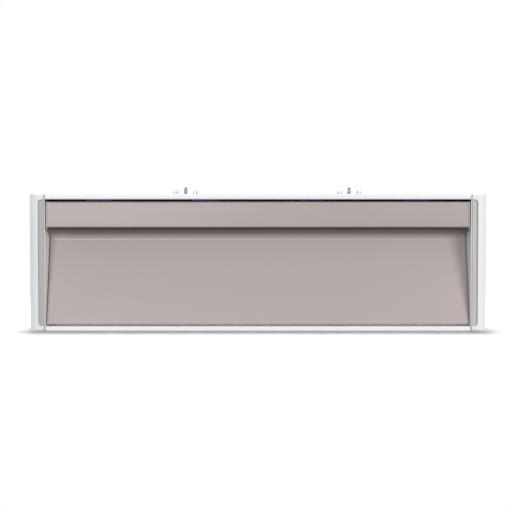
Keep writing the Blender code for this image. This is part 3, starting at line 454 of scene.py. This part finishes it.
cap_pocket_depth = 0.0019
cap_pocket_corner = 0.0024
cap_edge = 0.0009
cap_crown = 0.0011
cap_wall = 0.0018
cap_end_wall = 0.0022
cap_front_wall = 0.0027
fit = 0.0003
cap_moulding, cap_tree, cap_shader = material_with("cap_moulding", (0.86, 0.86, 0.88), 0.46)
cap_slow = noise_on(cap_tree, 22.0, 2.0)
cap_spark = noise_on(cap_tree, 1900.0, 3.0)
cap_colour = two_tones(cap_tree, cap_slow, (0.84, 0.84, 0.86), (0.87, 0.868, 0.892))
cap_tree.links.new(cap_colour, cap_shader.inputs["Base Color"])
cap_tree.links.new(spread(cap_tree, cap_spark, 0.38, 0.56), cap_shader.inputs["Roughness"])
raise_bump(cap_tree, cap_shader, cap_spark, 0.12, 0.00008)

strip_box = {side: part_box(f"cap_strip_{side}") for side in ("left", "right")}
plate_box = {side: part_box(f"side_plate_{side}") for side in ("left", "right")}
for side_name, sign in (("left", -1), ("right", 1)):
    low, high = (np.array(corner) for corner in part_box(f"end_cap_{side_name}"))
    outside = high[0] if sign > 0 else low[0]
    plate_face = plate_box[side_name][1][0] if sign > 0 else plate_box[side_name][0][0]
    inside = plate_face + sign * fit
    width = abs(outside - inside)
    share = np.linspace(0.0, 1.0, 40)
    crown_x = inside + sign * (width - cap_edge) * share
    crown_y = low[1] + cap_crown * np.clip((share - 0.38) / 0.62, 0.0, 1.0) ** 2.2
    corner_turn = np.linspace(0.0, math.pi / 2, 9)[1:]
    corner_x = crown_x[-1] + sign * cap_edge * np.sin(corner_turn)
    corner_y = crown_y[-1] + cap_edge * (1 - np.cos(corner_turn))
    back_x = np.array([outside, outside - sign * cap_edge * 0.3, outside - sign * cap_edge, inside])
    back_y = high[1] - np.array([cap_edge, cap_edge * 0.3, 0.0, 0.0])
    section = np.column_stack([np.concatenate([crown_x, corner_x, back_x]),
                               np.concatenate([crown_y, corner_y, back_y])])
    end_turn = np.linspace(0.0, math.pi / 2, 8)
    heights = np.concatenate([low[2] + cap_edge * (1 - np.sin(end_turn[::-1])),
                              high[2] - cap_edge * (1 - np.sin(end_turn))])
    inset = np.concatenate([cap_edge * (1 - np.cos(end_turn[::-1])), cap_edge * (1 - np.cos(end_turn))])
    rows = []
    for height, shrink in zip(heights, inset):
        x = np.where(np.abs(section[:, 0] - inside) > width - shrink,
                     outside - sign * shrink, section[:, 0])
        y = np.clip(section[:, 1], low[1] + shrink, high[1] - shrink)
        rows.append(np.column_stack([x, y, np.full(len(x), height)]))
    cap = face_outwards(
        piece_from_grid(f"cap_shell_{side_name}", np.array(rows), wrap_v=True, cap_ends=True))
    near, far = sorted((inside - sign * 0.002, outside - sign * cap_wall))
    cut_with(cap, box_piece("cap_hollow", (near, low[1] + cap_front_wall, low[2] + cap_end_wall),
                            (far, high[1] - cap_wall, high[2] - cap_end_wall)))
    strip_low, strip_high = strip_box[side_name]
    ring = rounded_rectangle(0.02, (strip_high[2] - strip_low[2]) / 2 + fit, cap_pocket_corner, 12)
    pocket_edge = (strip_high[0] if sign > 0 else strip_low[0]) + sign * fit
    ring_x = pocket_edge - sign * 0.02 + sign * ring[:, 0]
    ring_z = ring[:, 1] + (strip_low[2] + strip_high[2]) / 2
    rows = [np.column_stack([ring_x, np.full(len(ring), y), ring_z])
            for y in (low[1] - 0.002, low[1] + cap_pocket_depth)]
    cut_with(cap, face_outwards(piece_from_grid("cap_pocket", np.array(rows), wrap_v=True, cap_ends=True)))
    cap.data.shade_smooth()
    cap.data.set_sharp_from_angle(angle=math.radians(32))
    ease(cap, 0.0002, 2, 50.0)
    join_finish(cap, cap_moulding, "frame", "cap_white", f"end_cap_{side_name}")

# ---------------------------------------------------------------------------------------------------
# Cap strips: light grey-green plastic, whose face falls by about a millimetre towards the outer wall,
# pushed into the pocket of each end cap so that a shallow shadow line shows round it.
# ---------------------------------------------------------------------------------------------------
strip_fall = 0.0009
strip_plastic, strip_tree, strip_shader = material_with("strip_plastic", (0.50, 0.52, 0.49), 0.5)
strip_grain = noise_on(strip_tree, 1500.0, 3.0)
strip_streak = noise_on(strip_tree, 60.0, 3.0, (6.0, 1.0, 0.4))
strip_colour = two_tones(strip_tree, strip_streak, (0.485, 0.50, 0.465), (0.53, 0.54, 0.505))
strip_tree.links.new(strip_colour, strip_shader.inputs["Base Color"])
strip_tree.links.new(spread(strip_tree, strip_grain, 0.42, 0.60), strip_shader.inputs["Roughness"])
raise_bump(strip_tree, strip_shader, strip_grain, 0.10, 0.00006)
for side_name, sign in (("left", -1), ("right", 1)):
    low, high = (np.array(corner) for corner in strip_box[side_name])
    outer, inner = (high[0], low[0]) if sign > 0 else (low[0], high[0])
    corner = cap_pocket_corner - fit
    turn = np.linspace(0.0, math.pi / 2, 14)
    heights = np.concatenate([low[2] + corner * (1 - np.cos(turn)),
                              high[2] - corner * (1 - np.cos(turn[::-1]))])
    pulled = np.concatenate([corner * (1 - np.sin(turn)), corner * (1 - np.sin(turn[::-1]))])
    across = np.linspace(0.0, 1.0, 13)
    rows = []
    for height, pull in zip(heights, pulled):
        edge = outer - sign * pull
        x = inner + (edge - inner) * across
        cove = low[1] - 0.0003 + strip_fall * across ** 2
        front = np.column_stack([x, cove, np.full(len(x), height)])
        back = np.column_stack([x[::-1], np.full(len(x), high[1]), np.full(len(x), height)])
        rows.append(np.concatenate([front, back]))
    strip = face_outwards(piece_from_grid(f"strip_{side_name}", np.array(rows), wrap_v=True, cap_ends=True))
    join_finish(strip, strip_plastic, "frame", "strip_grey", f"cap_strip_{side_name}")


# ---------------------------------------------------------------------------------------------------
# Flap: one extruded section in satin taupe. From the top: a flat band, a ledge turned back under it,
# a hollow corner, and a panel that slopes forward to a folded foot. Only this skin is drawn: the bead
# on the hinge rod, its web and the end plates' ports, which flap_panel has, are left out. The coat is
# painted darker by height, as painted shade: deep under the ledge, and slight over the band and foot.
# ---------------------------------------------------------------------------------------------------
def rounded_path(corners, radii, arc_points=22):
    """Open path through (depth, height) corners, each inner corner replaced by an arc of its radius."""
    path = [np.array(corners[0])]
    for before, corner, after, radius in zip(corners, corners[1:], corners[2:], radii):
        before, corner, after = np.array(before), np.array(corner), np.array(after)
        back = (before - corner) / np.linalg.norm(before - corner)
        ahead = (after - corner) / np.linalg.norm(after - corner)
        half = math.acos(np.clip(back @ ahead, -1, 1)) / 2
        middle = (back + ahead) / np.linalg.norm(back + ahead)
        centre = corner + middle * radius / math.sin(half)
        start = corner + back * radius / math.tan(half) - centre
        stop = corner + ahead * radius / math.tan(half) - centre
        turn = math.atan2(start[0] * stop[1] - start[1] * stop[0], start @ stop)
        angle = np.linspace(0.0, turn, arc_points)
        x = start[0] * np.cos(angle) - start[1] * np.sin(angle)
        y = start[0] * np.sin(angle) + start[1] * np.cos(angle)
        path.extend(centre + np.column_stack([x, y]))
    path.append(np.array(corners[-1]))
    return np.array(path)


def section_piece(name, outline, start, stop):
    """Closed (y, z) outline carried straight along X from start to stop, with flat ends."""
    rows = [np.column_stack([np.full(len(outline), x), outline]) for x in (start, stop)]
    return face_outwards(piece_from_grid(name, np.array(rows), wrap_v=True, cap_ends=True))


flap_low, flap_high = (np.array(corner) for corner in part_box("flap_panel"))
flap_wall = 0.0018
band_height = 0.0183
band_edge = 0.0012
ledge_slope = math.radians(14.0)
ledge_outer = 0.0020
ledge_inner = 0.0045
recess_depth = 0.0161
foot_setback = 0.0015
hem_length = 0.0035
hem_radius = 0.0007


def flap_corner_points(inset):
    """The flap's sharp corners as (y, z), moved inset behind its front surface: each of its four
    straight runs is shifted along its own normal, and neighbouring runs are crossed again."""
    y, top, foot = flap_low[1], flap_high[2], flap_low[2]
    drop = ledge_outer * math.tan((math.pi / 2 - ledge_slope) / 2)
    band_corner = np.array([y, top - band_height - drop])
    recess_corner = band_corner + recess_depth * np.array([1.0, -math.tan(ledge_slope)])
    foot_corner = np.array([y + foot_setback, foot])
    corners = [np.array([y, top]), band_corner, recess_corner, foot_corner, foot_corner + [hem_length, 0.0]]
    runs = []
    for first, second in zip(corners, corners[1:]):
        way = (second - first) / np.linalg.norm(second - first)
        runs.append((first + inset * np.array([-way[1], way[0]]), way))
    moved = [np.array([runs[0][0][0], top])]
    for (point, way), (other, other_way) in zip(runs, runs[1:]):
        share = np.linalg.solve(np.column_stack([way, -other_way]), other - point)[0]
        moved.append(point + way * share)
    moved.append(np.array([corners[-1][0], runs[-1][0][1]]))
    return moved


def flap_skin(inset):
    """Rounded path down the flap at an inset behind its front surface."""
    radii = [ledge_outer - inset, ledge_inner + inset, max(hem_radius - inset, 0.0003)]
    return rounded_path(flap_corner_points(inset), radii)


front_skin = flap_skin(0.0)
back_skin = flap_skin(flap_wall)
top_turn = np.linspace(math.pi / 2, math.pi, 12)
top_edge = np.column_stack([flap_low[1] + band_edge + band_edge * np.cos(top_turn),
                            flap_high[2] - band_edge + band_edge * np.sin(top_turn)])
back_top = np.array([[flap_low[1] + flap_wall - 0.0002, flap_high[2]],
                     [flap_low[1] + flap_wall, flap_high[2] - 0.0002]])
flap_outline = np.concatenate([back_top[:1], top_edge, front_skin[1:], back_skin[1:][::-1], back_top[1:]])

taupe, taupe_tree, taupe_shader = material_with("taupe_satin", (0.44, 0.385, 0.372), 0.45, 0.12)
taupe_cloud = noise_on(taupe_tree, 9.0, 2.0)
taupe_flake = noise_on(taupe_tree, 5200.0, 2.0)
taupe_draw = noise_on(taupe_tree, 420.0, 3.0, (0.03, 1.0, 1.0))
taupe_colour = two_tones(taupe_tree, taupe_cloud, (0.460, 0.404, 0.392), (0.478, 0.418, 0.404))
# Painted shade by height: a dark band under the ledge, and the band a little darker than the panel.
painted_shade_by_height = [(0.0045, 0.99), (0.0200, 1.00), (0.0450, 1.00), (0.0630, 0.99), (0.0690, 0.97),
              (0.0716, 0.66), (0.0730, 0.30), (0.0742, 0.13), (0.0750, 0.24), (0.0759, 0.90),
              (0.0800, 0.92), (0.0935, 0.93)]
taupe_colour = toned_along(taupe_tree, taupe_colour, "Z", painted_shade_by_height, 0.0, 0.1)
taupe_tree.links.new(taupe_colour, taupe_shader.inputs["Base Color"])
taupe_tree.links.new(spread(taupe_tree, taupe_draw, 0.38, 0.46), taupe_shader.inputs["Roughness"])
taupe_first = raise_bump(taupe_tree, taupe_shader, taupe_flake, 0.05, 0.00003)
raise_bump(taupe_tree, taupe_shader, taupe_draw, 0.03, 0.00004, taupe_first)
taupe_shader.inputs["Specular IOR Level"].default_value = 0.35

flap = section_piece("flap_section", flap_outline, flap_low[0] - fit, flap_high[0] + fit)
join_finish(flap, taupe, "flap", "flap_taupe", "flap_panel")

# ---------------------------------------------------------------------------------------------------
# Hinge rod: bright drawn steel wire with chamfered ends. It runs the whole width behind the band,
# turns with the flap and ends in a nylon sleeve in each side plate. The frame screws share its finish.
# ---------------------------------------------------------------------------------------------------
steel, steel_tree, steel_shader = material_with("bright_steel", (0.60, 0.60, 0.61), 0.28, 1.0)
steel_draw = noise_on(steel_tree, 900.0, 3.0, (0.05, 1.0, 1.0))
steel_stain = noise_on(steel_tree, 160.0, 3.0)
steel_colour = two_tones(steel_tree, steel_stain, (0.52, 0.52, 0.52), (0.64, 0.64, 0.65))
steel_tree.links.new(steel_colour, steel_shader.inputs["Base Color"])
steel_tree.links.new(spread(steel_tree, steel_draw, 0.18, 0.38), steel_shader.inputs["Roughness"])
raise_bump(steel_tree, steel_shader, steel_draw, 0.10, 0.00003)


def turned_piece(name, along, radius, centre, axis, sides=40):
    """Profile of radii spun about an axis ("X" or "Z") through a centre, its two ends closed flat."""
    angle = np.linspace(0.0, 2 * math.pi, sides, endpoint=False)
    along, radius = np.array(along)[:, None], np.array(radius)[:, None]
    u, v = radius * np.cos(angle), radius * np.sin(angle)
    w = np.broadcast_to(along, u.shape)
    stacked = [w, centre[1] + u, centre[2] + v] if axis == "X" else [centre[0] + u, centre[1] + v, w]
    return face_outwards(piece_from_grid(name, np.stack(stacked, axis=-1), wrap_v=True, cap_ends=True))


rod_low, rod_high = (np.array(corner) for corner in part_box("hinge_rod"))
rod_radius = (rod_high[2] - rod_low[2]) / 2
hinge_y, hinge_z = (rod_low[1] + rod_high[1]) / 2, (rod_low[2] + rod_high[2]) / 2
rod_chamfer = 0.0004
rod = turned_piece(
    "rod",
    [rod_low[0], rod_low[0] + rod_chamfer, rod_high[0] - rod_chamfer, rod_high[0]],
    [rod_radius - rod_chamfer, rod_radius, rod_radius, rod_radius - rod_chamfer],
    (0.0, hinge_y, hinge_z), "X")
join_finish(rod, steel, "flap", "steel", "hinge_rod")
for node in sorted(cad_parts):
    if node.startswith("frame_screw"):
        dress(node, steel)

bush_nylon, bush_tree, bush_shader = material_with("natural_nylon", (0.80, 0.79, 0.73), 0.5)
bush_cloud = noise_on(bush_tree, 300.0, 2.0)
bush_colour = two_tones(bush_tree, bush_cloud, (0.77, 0.76, 0.70), (0.82, 0.81, 0.76))
bush_tree.links.new(bush_colour, bush_shader.inputs["Base Color"])
raise_bump(bush_tree, bush_shader, bush_cloud, 0.05, 0.00005)
for side_name in ("left", "right"):
    dress(f"hinge_bush_{side_name}", bush_nylon)

# ---------------------------------------------------------------------------------------------------
# Flap end plates: taupe mouldings at the ends of the flap section, drawn without their pegs. They
# stand a third of a millimetre proud of the panel round its front, as the thin rim line down each end.
# ---------------------------------------------------------------------------------------------------
end_proud = 0.00035
end_thickness = 0.0010
bore_overrun = 0.002
end_margin = 0.0012
end_shoulder_below = 0.0060
end_shoulder_above = 0.0045
end_bend_height = 0.0140
end_bead = 0.00275
end_taupe, end_tree, end_shader = material_with("end_plate_moulding", (0.40, 0.345, 0.33), 0.45, 0.1)
end_grain = noise_on(end_tree, 1600.0, 3.0)
end_cloud = noise_on(end_tree, 40.0, 2.0)
end_colour = two_tones(end_tree, end_cloud, (0.38, 0.327, 0.31), (0.42, 0.362, 0.345))
end_tree.links.new(end_colour, end_shader.inputs["Base Color"])
end_tree.links.new(spread(end_tree, end_grain, 0.36, 0.50), end_shader.inputs["Roughness"])
raise_bump(end_tree, end_shader, end_grain, 0.06, 0.00005)
proud_skin = flap_skin(-end_proud)
proud_top = np.column_stack([flap_low[1] - end_proud + band_edge + band_edge * np.cos(top_turn),
                             flap_high[2] + end_proud - band_edge + band_edge * np.sin(top_turn)])
inner_corners = flap_corner_points(flap_wall)
recess, rear_foot = inner_corners[2], inner_corners[3][0] + hem_length
end_outline = np.concatenate([proud_top, proud_skin[1:-1], [
    [rear_foot, proud_skin[-1][1]],
    [rear_foot + end_margin, end_bend_height],
    [recess[0] + end_margin, recess[1] - end_shoulder_below],
    [recess[0] + end_margin, recess[1] + end_shoulder_above],
    [hinge_y + end_bead, hinge_z - end_bead],
    [hinge_y + end_bead, flap_high[2] - end_bead],
    [hinge_y, flap_high[2] + end_proud]]])
for side_name in ("left", "right"):
    low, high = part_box(f"flap_end_{side_name}")
    outer, inner = (low[0], low[0] + end_thickness) if side_name == "left" else (
        high[0], high[0] - end_thickness)
    plate = section_piece(f"end_plate_{side_name}", end_outline, min(outer, inner), max(outer, inner))
    cut_with(plate, turned_piece("end_bore", [outer - bore_overrun, outer + bore_overrun],
                                 [rod_radius + fit] * 2, (0.0, hinge_y, hinge_z), "X"))
    plate.data.shade_smooth()
    plate.data.set_sharp_from_angle(angle=math.radians(32))
    ease(plate, 0.00012, 2, 50.0)
    join_finish(plate, end_taupe, "flap", "flap_end_taupe", f"flap_end_{side_name}")

# ---------------------------------------------------------------------------------------------------
# Hinge clips: four navy nylon hooks on the top rail. A pad lies under the rail's web, a web drops
# behind the flap's swing and an arm reaches forward to the eye that the rod turns in.
# ---------------------------------------------------------------------------------------------------
navy, navy_tree, navy_shader = material_with("navy_nylon", (0.012, 0.05, 0.22), 0.38)
navy_cloud = noise_on(navy_tree, 260.0, 2.0)
navy_grain = noise_on(navy_tree, 2400.0, 2.0)
navy_colour = two_tones(navy_tree, navy_cloud, (0.010, 0.045, 0.20), (0.020, 0.065, 0.26))
navy_tree.links.new(navy_colour, navy_shader.inputs["Base Color"])
navy_tree.links.new(spread(navy_tree, navy_grain, 0.30, 0.46), navy_shader.inputs["Roughness"])
raise_bump(navy_tree, navy_shader, navy_grain, 0.06, 0.00005)
clip_nodes = [f"hinge_clip_{number}" for number in range(1, 5)]
for node in clip_nodes:
    soften(dress(node, navy), 0.00018)

# ---------------------------------------------------------------------------------------------------
# Closing springs: two torsion springs of round steel wire on the hinge rod. One leg stands up behind
# the band and turns with the flap, the other runs back to the rail's ledge, so each coil winds up.
# ---------------------------------------------------------------------------------------------------
spring_wire, spring_tree, spring_shader = material_with("spring_wire", (0.42, 0.42, 0.43), 0.30, 1.0)
spring_stain = noise_on(spring_tree, 700.0, 3.0)
spring_colour = two_tones(spring_tree, spring_stain, (0.34, 0.34, 0.35), (0.50, 0.50, 0.51))
spring_tree.links.new(spring_colour, spring_shader.inputs["Base Color"])
spring_tree.links.new(spread(spring_tree, spring_stain, 0.24, 0.38), spring_shader.inputs["Roughness"])


def wire_piece(name, path, radius, sides=14):
    """Round tube along a path: each ring lies across the path's local direction, turned with the
    least twist from the ring before it, which the cross product with the rod's axis gives."""
    way = np.gradient(path, axis=0)
    way /= np.linalg.norm(way, axis=1)[:, None]
    axis = np.array([1.0, 0.0, 0.0])
    across = np.cross(way, axis)
    across /= np.linalg.norm(across, axis=1)[:, None]
    third = np.cross(way, across)
    angle = np.linspace(0.0, 2 * math.pi, sides, endpoint=False)
    ring = (across[:, None, :] * np.cos(angle)[None, :, None]
            + third[:, None, :] * np.sin(angle)[None, :, None])
    points = path[:, None, :] + radius * ring
    return face_outwards(piece_from_grid(name, points, wrap_v=True, cap_ends=True), 60.0)


spring_radius = 0.0021
spring_wire_radius = 0.00035
spring_turns = 7
for side_name, sign in (("left", -1), ("right", 1)):
    low, high = (np.array(corner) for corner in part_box(f"closing_spring_{side_name}"))
    middle_x = (low[0] + high[0]) / 2
    half_run = (high[0] - low[0]) / 2 - spring_wire_radius
    angle = math.pi + 2 * math.pi * np.linspace(0.0, spring_turns + 0.25, 24 * spring_turns + 6)
    share = np.linspace(0.0, 1.0, len(angle))
    coil = np.column_stack([middle_x + sign * half_run * (2 * share - 1),
                            hinge_y + spring_radius * np.cos(angle),
                            hinge_z + spring_radius * np.sin(angle)])
    rise = np.linspace(1.0, 0.0, 14)[:-1, None]
    leg_top = np.array([coil[0][0], low[1] + spring_wire_radius, high[2] - 0.0001])
    leg_up = coil[0] + (leg_top - coil[0]) * rise
    leg_tip = np.array([coil[-1][0], high[1] - 0.0001, coil[-1][2]])
    leg_back = coil[-1] + (leg_tip - coil[-1]) * np.linspace(0.0, 1.0, 20)[1:, None]
    spring = wire_piece(f"spring_{side_name}", np.concatenate([leg_up, coil, leg_back]), spring_wire_radius)
    spring.data.materials.append(spring_wire)
    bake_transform(spring)
    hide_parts(f"closing_spring_{side_name}")

# ---------------------------------------------------------------------------------------------------
# Draught seal: black rubber strip stuck to the front of the clamp channel. It shows as the black in
# the gap over the flap.
# ---------------------------------------------------------------------------------------------------
rubber, rubber_tree, rubber_shader = material_with("black_rubber", (0.010, 0.010, 0.011), 0.8)
rubber_bloom = noise_on(rubber_tree, 320.0, 3.0)
rubber_colour = two_tones(rubber_tree, rubber_bloom, (0.006, 0.006, 0.007), (0.016, 0.016, 0.017))
rubber_tree.links.new(rubber_colour, rubber_shader.inputs["Base Color"])
rubber_tree.links.new(spread(rubber_tree, rubber_bloom, 0.70, 0.92), rubber_shader.inputs["Roughness"])
raise_bump(rubber_tree, rubber_shader, rubber_bloom, 0.15, 0.0001)
seal_low, seal_high = (np.array(corner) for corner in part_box("top_seal"))
seal_wave = np.linspace(0.0, 1.0, 40)
seal_front = np.column_stack([
    seal_low[1] + 0.00030 * (1 + np.cos(2 * math.pi * 3 * seal_wave)) / 2,
    seal_high[2] + (seal_low[2] - seal_high[2]) * seal_wave])
seal_outline = np.concatenate([seal_front, [[seal_high[1], seal_low[2]], [seal_high[1], seal_high[2]]]])
seal = section_piece("draught_seal", seal_outline, seal_low[0], seal_high[0])
join_finish(seal, rubber, "frame", "seal_black", "top_seal")

# ---------------------------------------------------------------------------------------------------
# Bumpers: four small pads of pale elastomer on the bottom rail. The folded foot of the flap closes
# against them.
# ---------------------------------------------------------------------------------------------------
pale, pale_tree, pale_shader = material_with("bumper_elastomer", (0.82, 0.81, 0.78), 0.45)
pale_cloud = noise_on(pale_tree, 500.0, 2.0)
pale_colour = two_tones(pale_tree, pale_cloud, (0.80, 0.79, 0.76), (0.88, 0.87, 0.85))
pale_tree.links.new(pale_colour, pale_shader.inputs["Base Color"])
pale_tree.links.new(spread(pale_tree, pale_cloud, 0.36, 0.52), pale_shader.inputs["Roughness"])
pale_shader.inputs["Subsurface Weight"].default_value = 0.25
pale_shader.inputs["Subsurface Radius"].default_value = (0.002, 0.002, 0.0018)
for number in range(1, 5):
    low, high = (np.array(corner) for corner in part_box(f"bumper_{number}"))
    centre, half = (low + high) / 2, (high - low) / 2
    latitude = np.linspace(-math.pi / 2, math.pi / 2, 25)[1:-1]
    longitude = np.linspace(0.0, 2 * math.pi, 48, endpoint=False)
    power = 0.28
    c_lat = np.sign(np.cos(latitude)) * np.abs(np.cos(latitude)) ** power
    s_lat = np.sign(np.sin(latitude)) * np.abs(np.sin(latitude)) ** power
    c_lon = np.sign(np.cos(longitude)) * np.abs(np.cos(longitude)) ** power
    s_lon = np.sign(np.sin(longitude)) * np.abs(np.sin(longitude)) ** power
    x = centre[0] + half[0] * c_lat[:, None] * c_lon[None, :]
    y = centre[1] + half[1] * c_lat[:, None] * s_lon[None, :]
    z = np.broadcast_to(centre[2] + half[2] * s_lat[:, None], x.shape)
    points = np.stack([x, y, z], axis=-1)
    pad = face_outwards(piece_from_grid(f"pad_{number}", points, wrap_v=True, cap_ends=True), 60.0)
    join_finish(pad, pale, "frame", "bumper_pale", f"bumper_{number}")

# ---------------------------------------------------------------------------------------------------
# Clamps: two white moulded blocks that slide in the top rail's channel, each with two tapered nibs
# and one pointed brass screw. Tightened from below, the points bite into the head of the opening.
# The nibs' flanks are painted darker by their place across the block, as painted shade on their sides.
# ---------------------------------------------------------------------------------------------------
nib_from_screw = 0.0072
nib_flank = 0.0015
flank_width = 0.0011
nib_flank_shade = 0.38
block_reach = 0.015
brass, brass_tree, brass_shader = material_with("brass_screw", (0.62, 0.52, 0.40), 0.30, 1.0)
brass_tarnish = noise_on(brass_tree, 420.0, 3.0)
brass_lathe = noise_on(brass_tree, 2600.0, 2.0, (0.1, 0.1, 1.0))
brass_colour = two_tones(brass_tree, brass_tarnish, (0.50, 0.41, 0.31), (0.70, 0.60, 0.47))
brass_tree.links.new(brass_colour, brass_shader.inputs["Base Color"])
brass_tree.links.new(spread(brass_tree, brass_lathe, 0.22, 0.42), brass_shader.inputs["Roughness"])
raise_bump(brass_tree, brass_shader, brass_lathe, 0.10, 0.00003)
thread_pitch = 0.0005
thread_depth = 0.00020
for side_name in ("left", "right"):
    low, high = (np.array(corner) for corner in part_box(f"clamp_screw_{side_name}"))
    radius = (high[0] - low[0]) / 2
    centre_x, centre_y = (low[0] + high[0]) / 2, (low[1] + high[1]) / 2
    block_white = white_coat(f"clamp_moulding_{side_name}", (0.80, 0.80, 0.79), (0.86, 0.86, 0.85))
    block_tree = block_white.node_tree
    block_shader = block_tree.nodes["Principled BSDF"]
    block_tone = block_shader.inputs["Base Color"].links[0].from_socket
    # Painted shade: a darker stripe over each flank of each nib.
    nib_flank_shade_stops = []
    for nib in (-nib_from_screw, nib_from_screw):
        for flank in (-nib_flank, nib_flank):
            middle = centre_x + nib + flank
            nib_flank_shade_stops += [(middle - flank_width, 1.0), (middle - flank_width / 2, nib_flank_shade),
                            (middle + flank_width / 2, nib_flank_shade), (middle + flank_width, 1.0)]
    block_tone = toned_along(
        block_tree, block_tone, "X", nib_flank_shade_stops, centre_x - block_reach, centre_x + block_reach)
    block_tree.links.new(block_tone, block_shader.inputs["Base Color"])
    soften(dress(f"clamp_block_{side_name}", block_white), 0.00020)
    cone = 0.0026
    heights = np.concatenate([np.linspace(low[2], high[2] - cone, 16 * 38),
                              np.linspace(high[2] - cone, high[2], 24)[1:]])
    angle = np.linspace(0.0, 2 * math.pi, 36, endpoint=False)
    phase = (heights[:, None] - thread_pitch * angle[None, :] / (2 * math.pi)) / thread_pitch
    tooth = np.abs(2 * (phase - np.floor(phase)) - 1)
    fade = (np.clip((high[2] - cone - heights) / 0.0006, 0.0, 1.0)
            * np.clip((heights - low[2]) / 0.0005, 0.0, 1.0))
    body = np.clip((high[2] - heights) / cone, 0.0, 1.0) ** 0.6
    lead_in = 0.8 + 0.2 * np.clip((heights - low[2]) / 0.0004, 0.0, 1.0)
    reach = radius * np.maximum(body * lead_in, 0.02)[:, None] - thread_depth * tooth * fade[:, None]
    points = np.stack([centre_x + reach * np.cos(angle), centre_y + reach * np.sin(angle),
                       np.broadcast_to(heights[:, None], reach.shape)], axis=-1)
    screw = face_outwards(
        piece_from_grid(f"clamp_point_{side_name}", points, wrap_v=True, cap_ends=True), 50.0)
    join_finish(screw, brass, f"clamp_screw_{side_name}", "clamp_brass", f"clamp_screw_{side_name}")
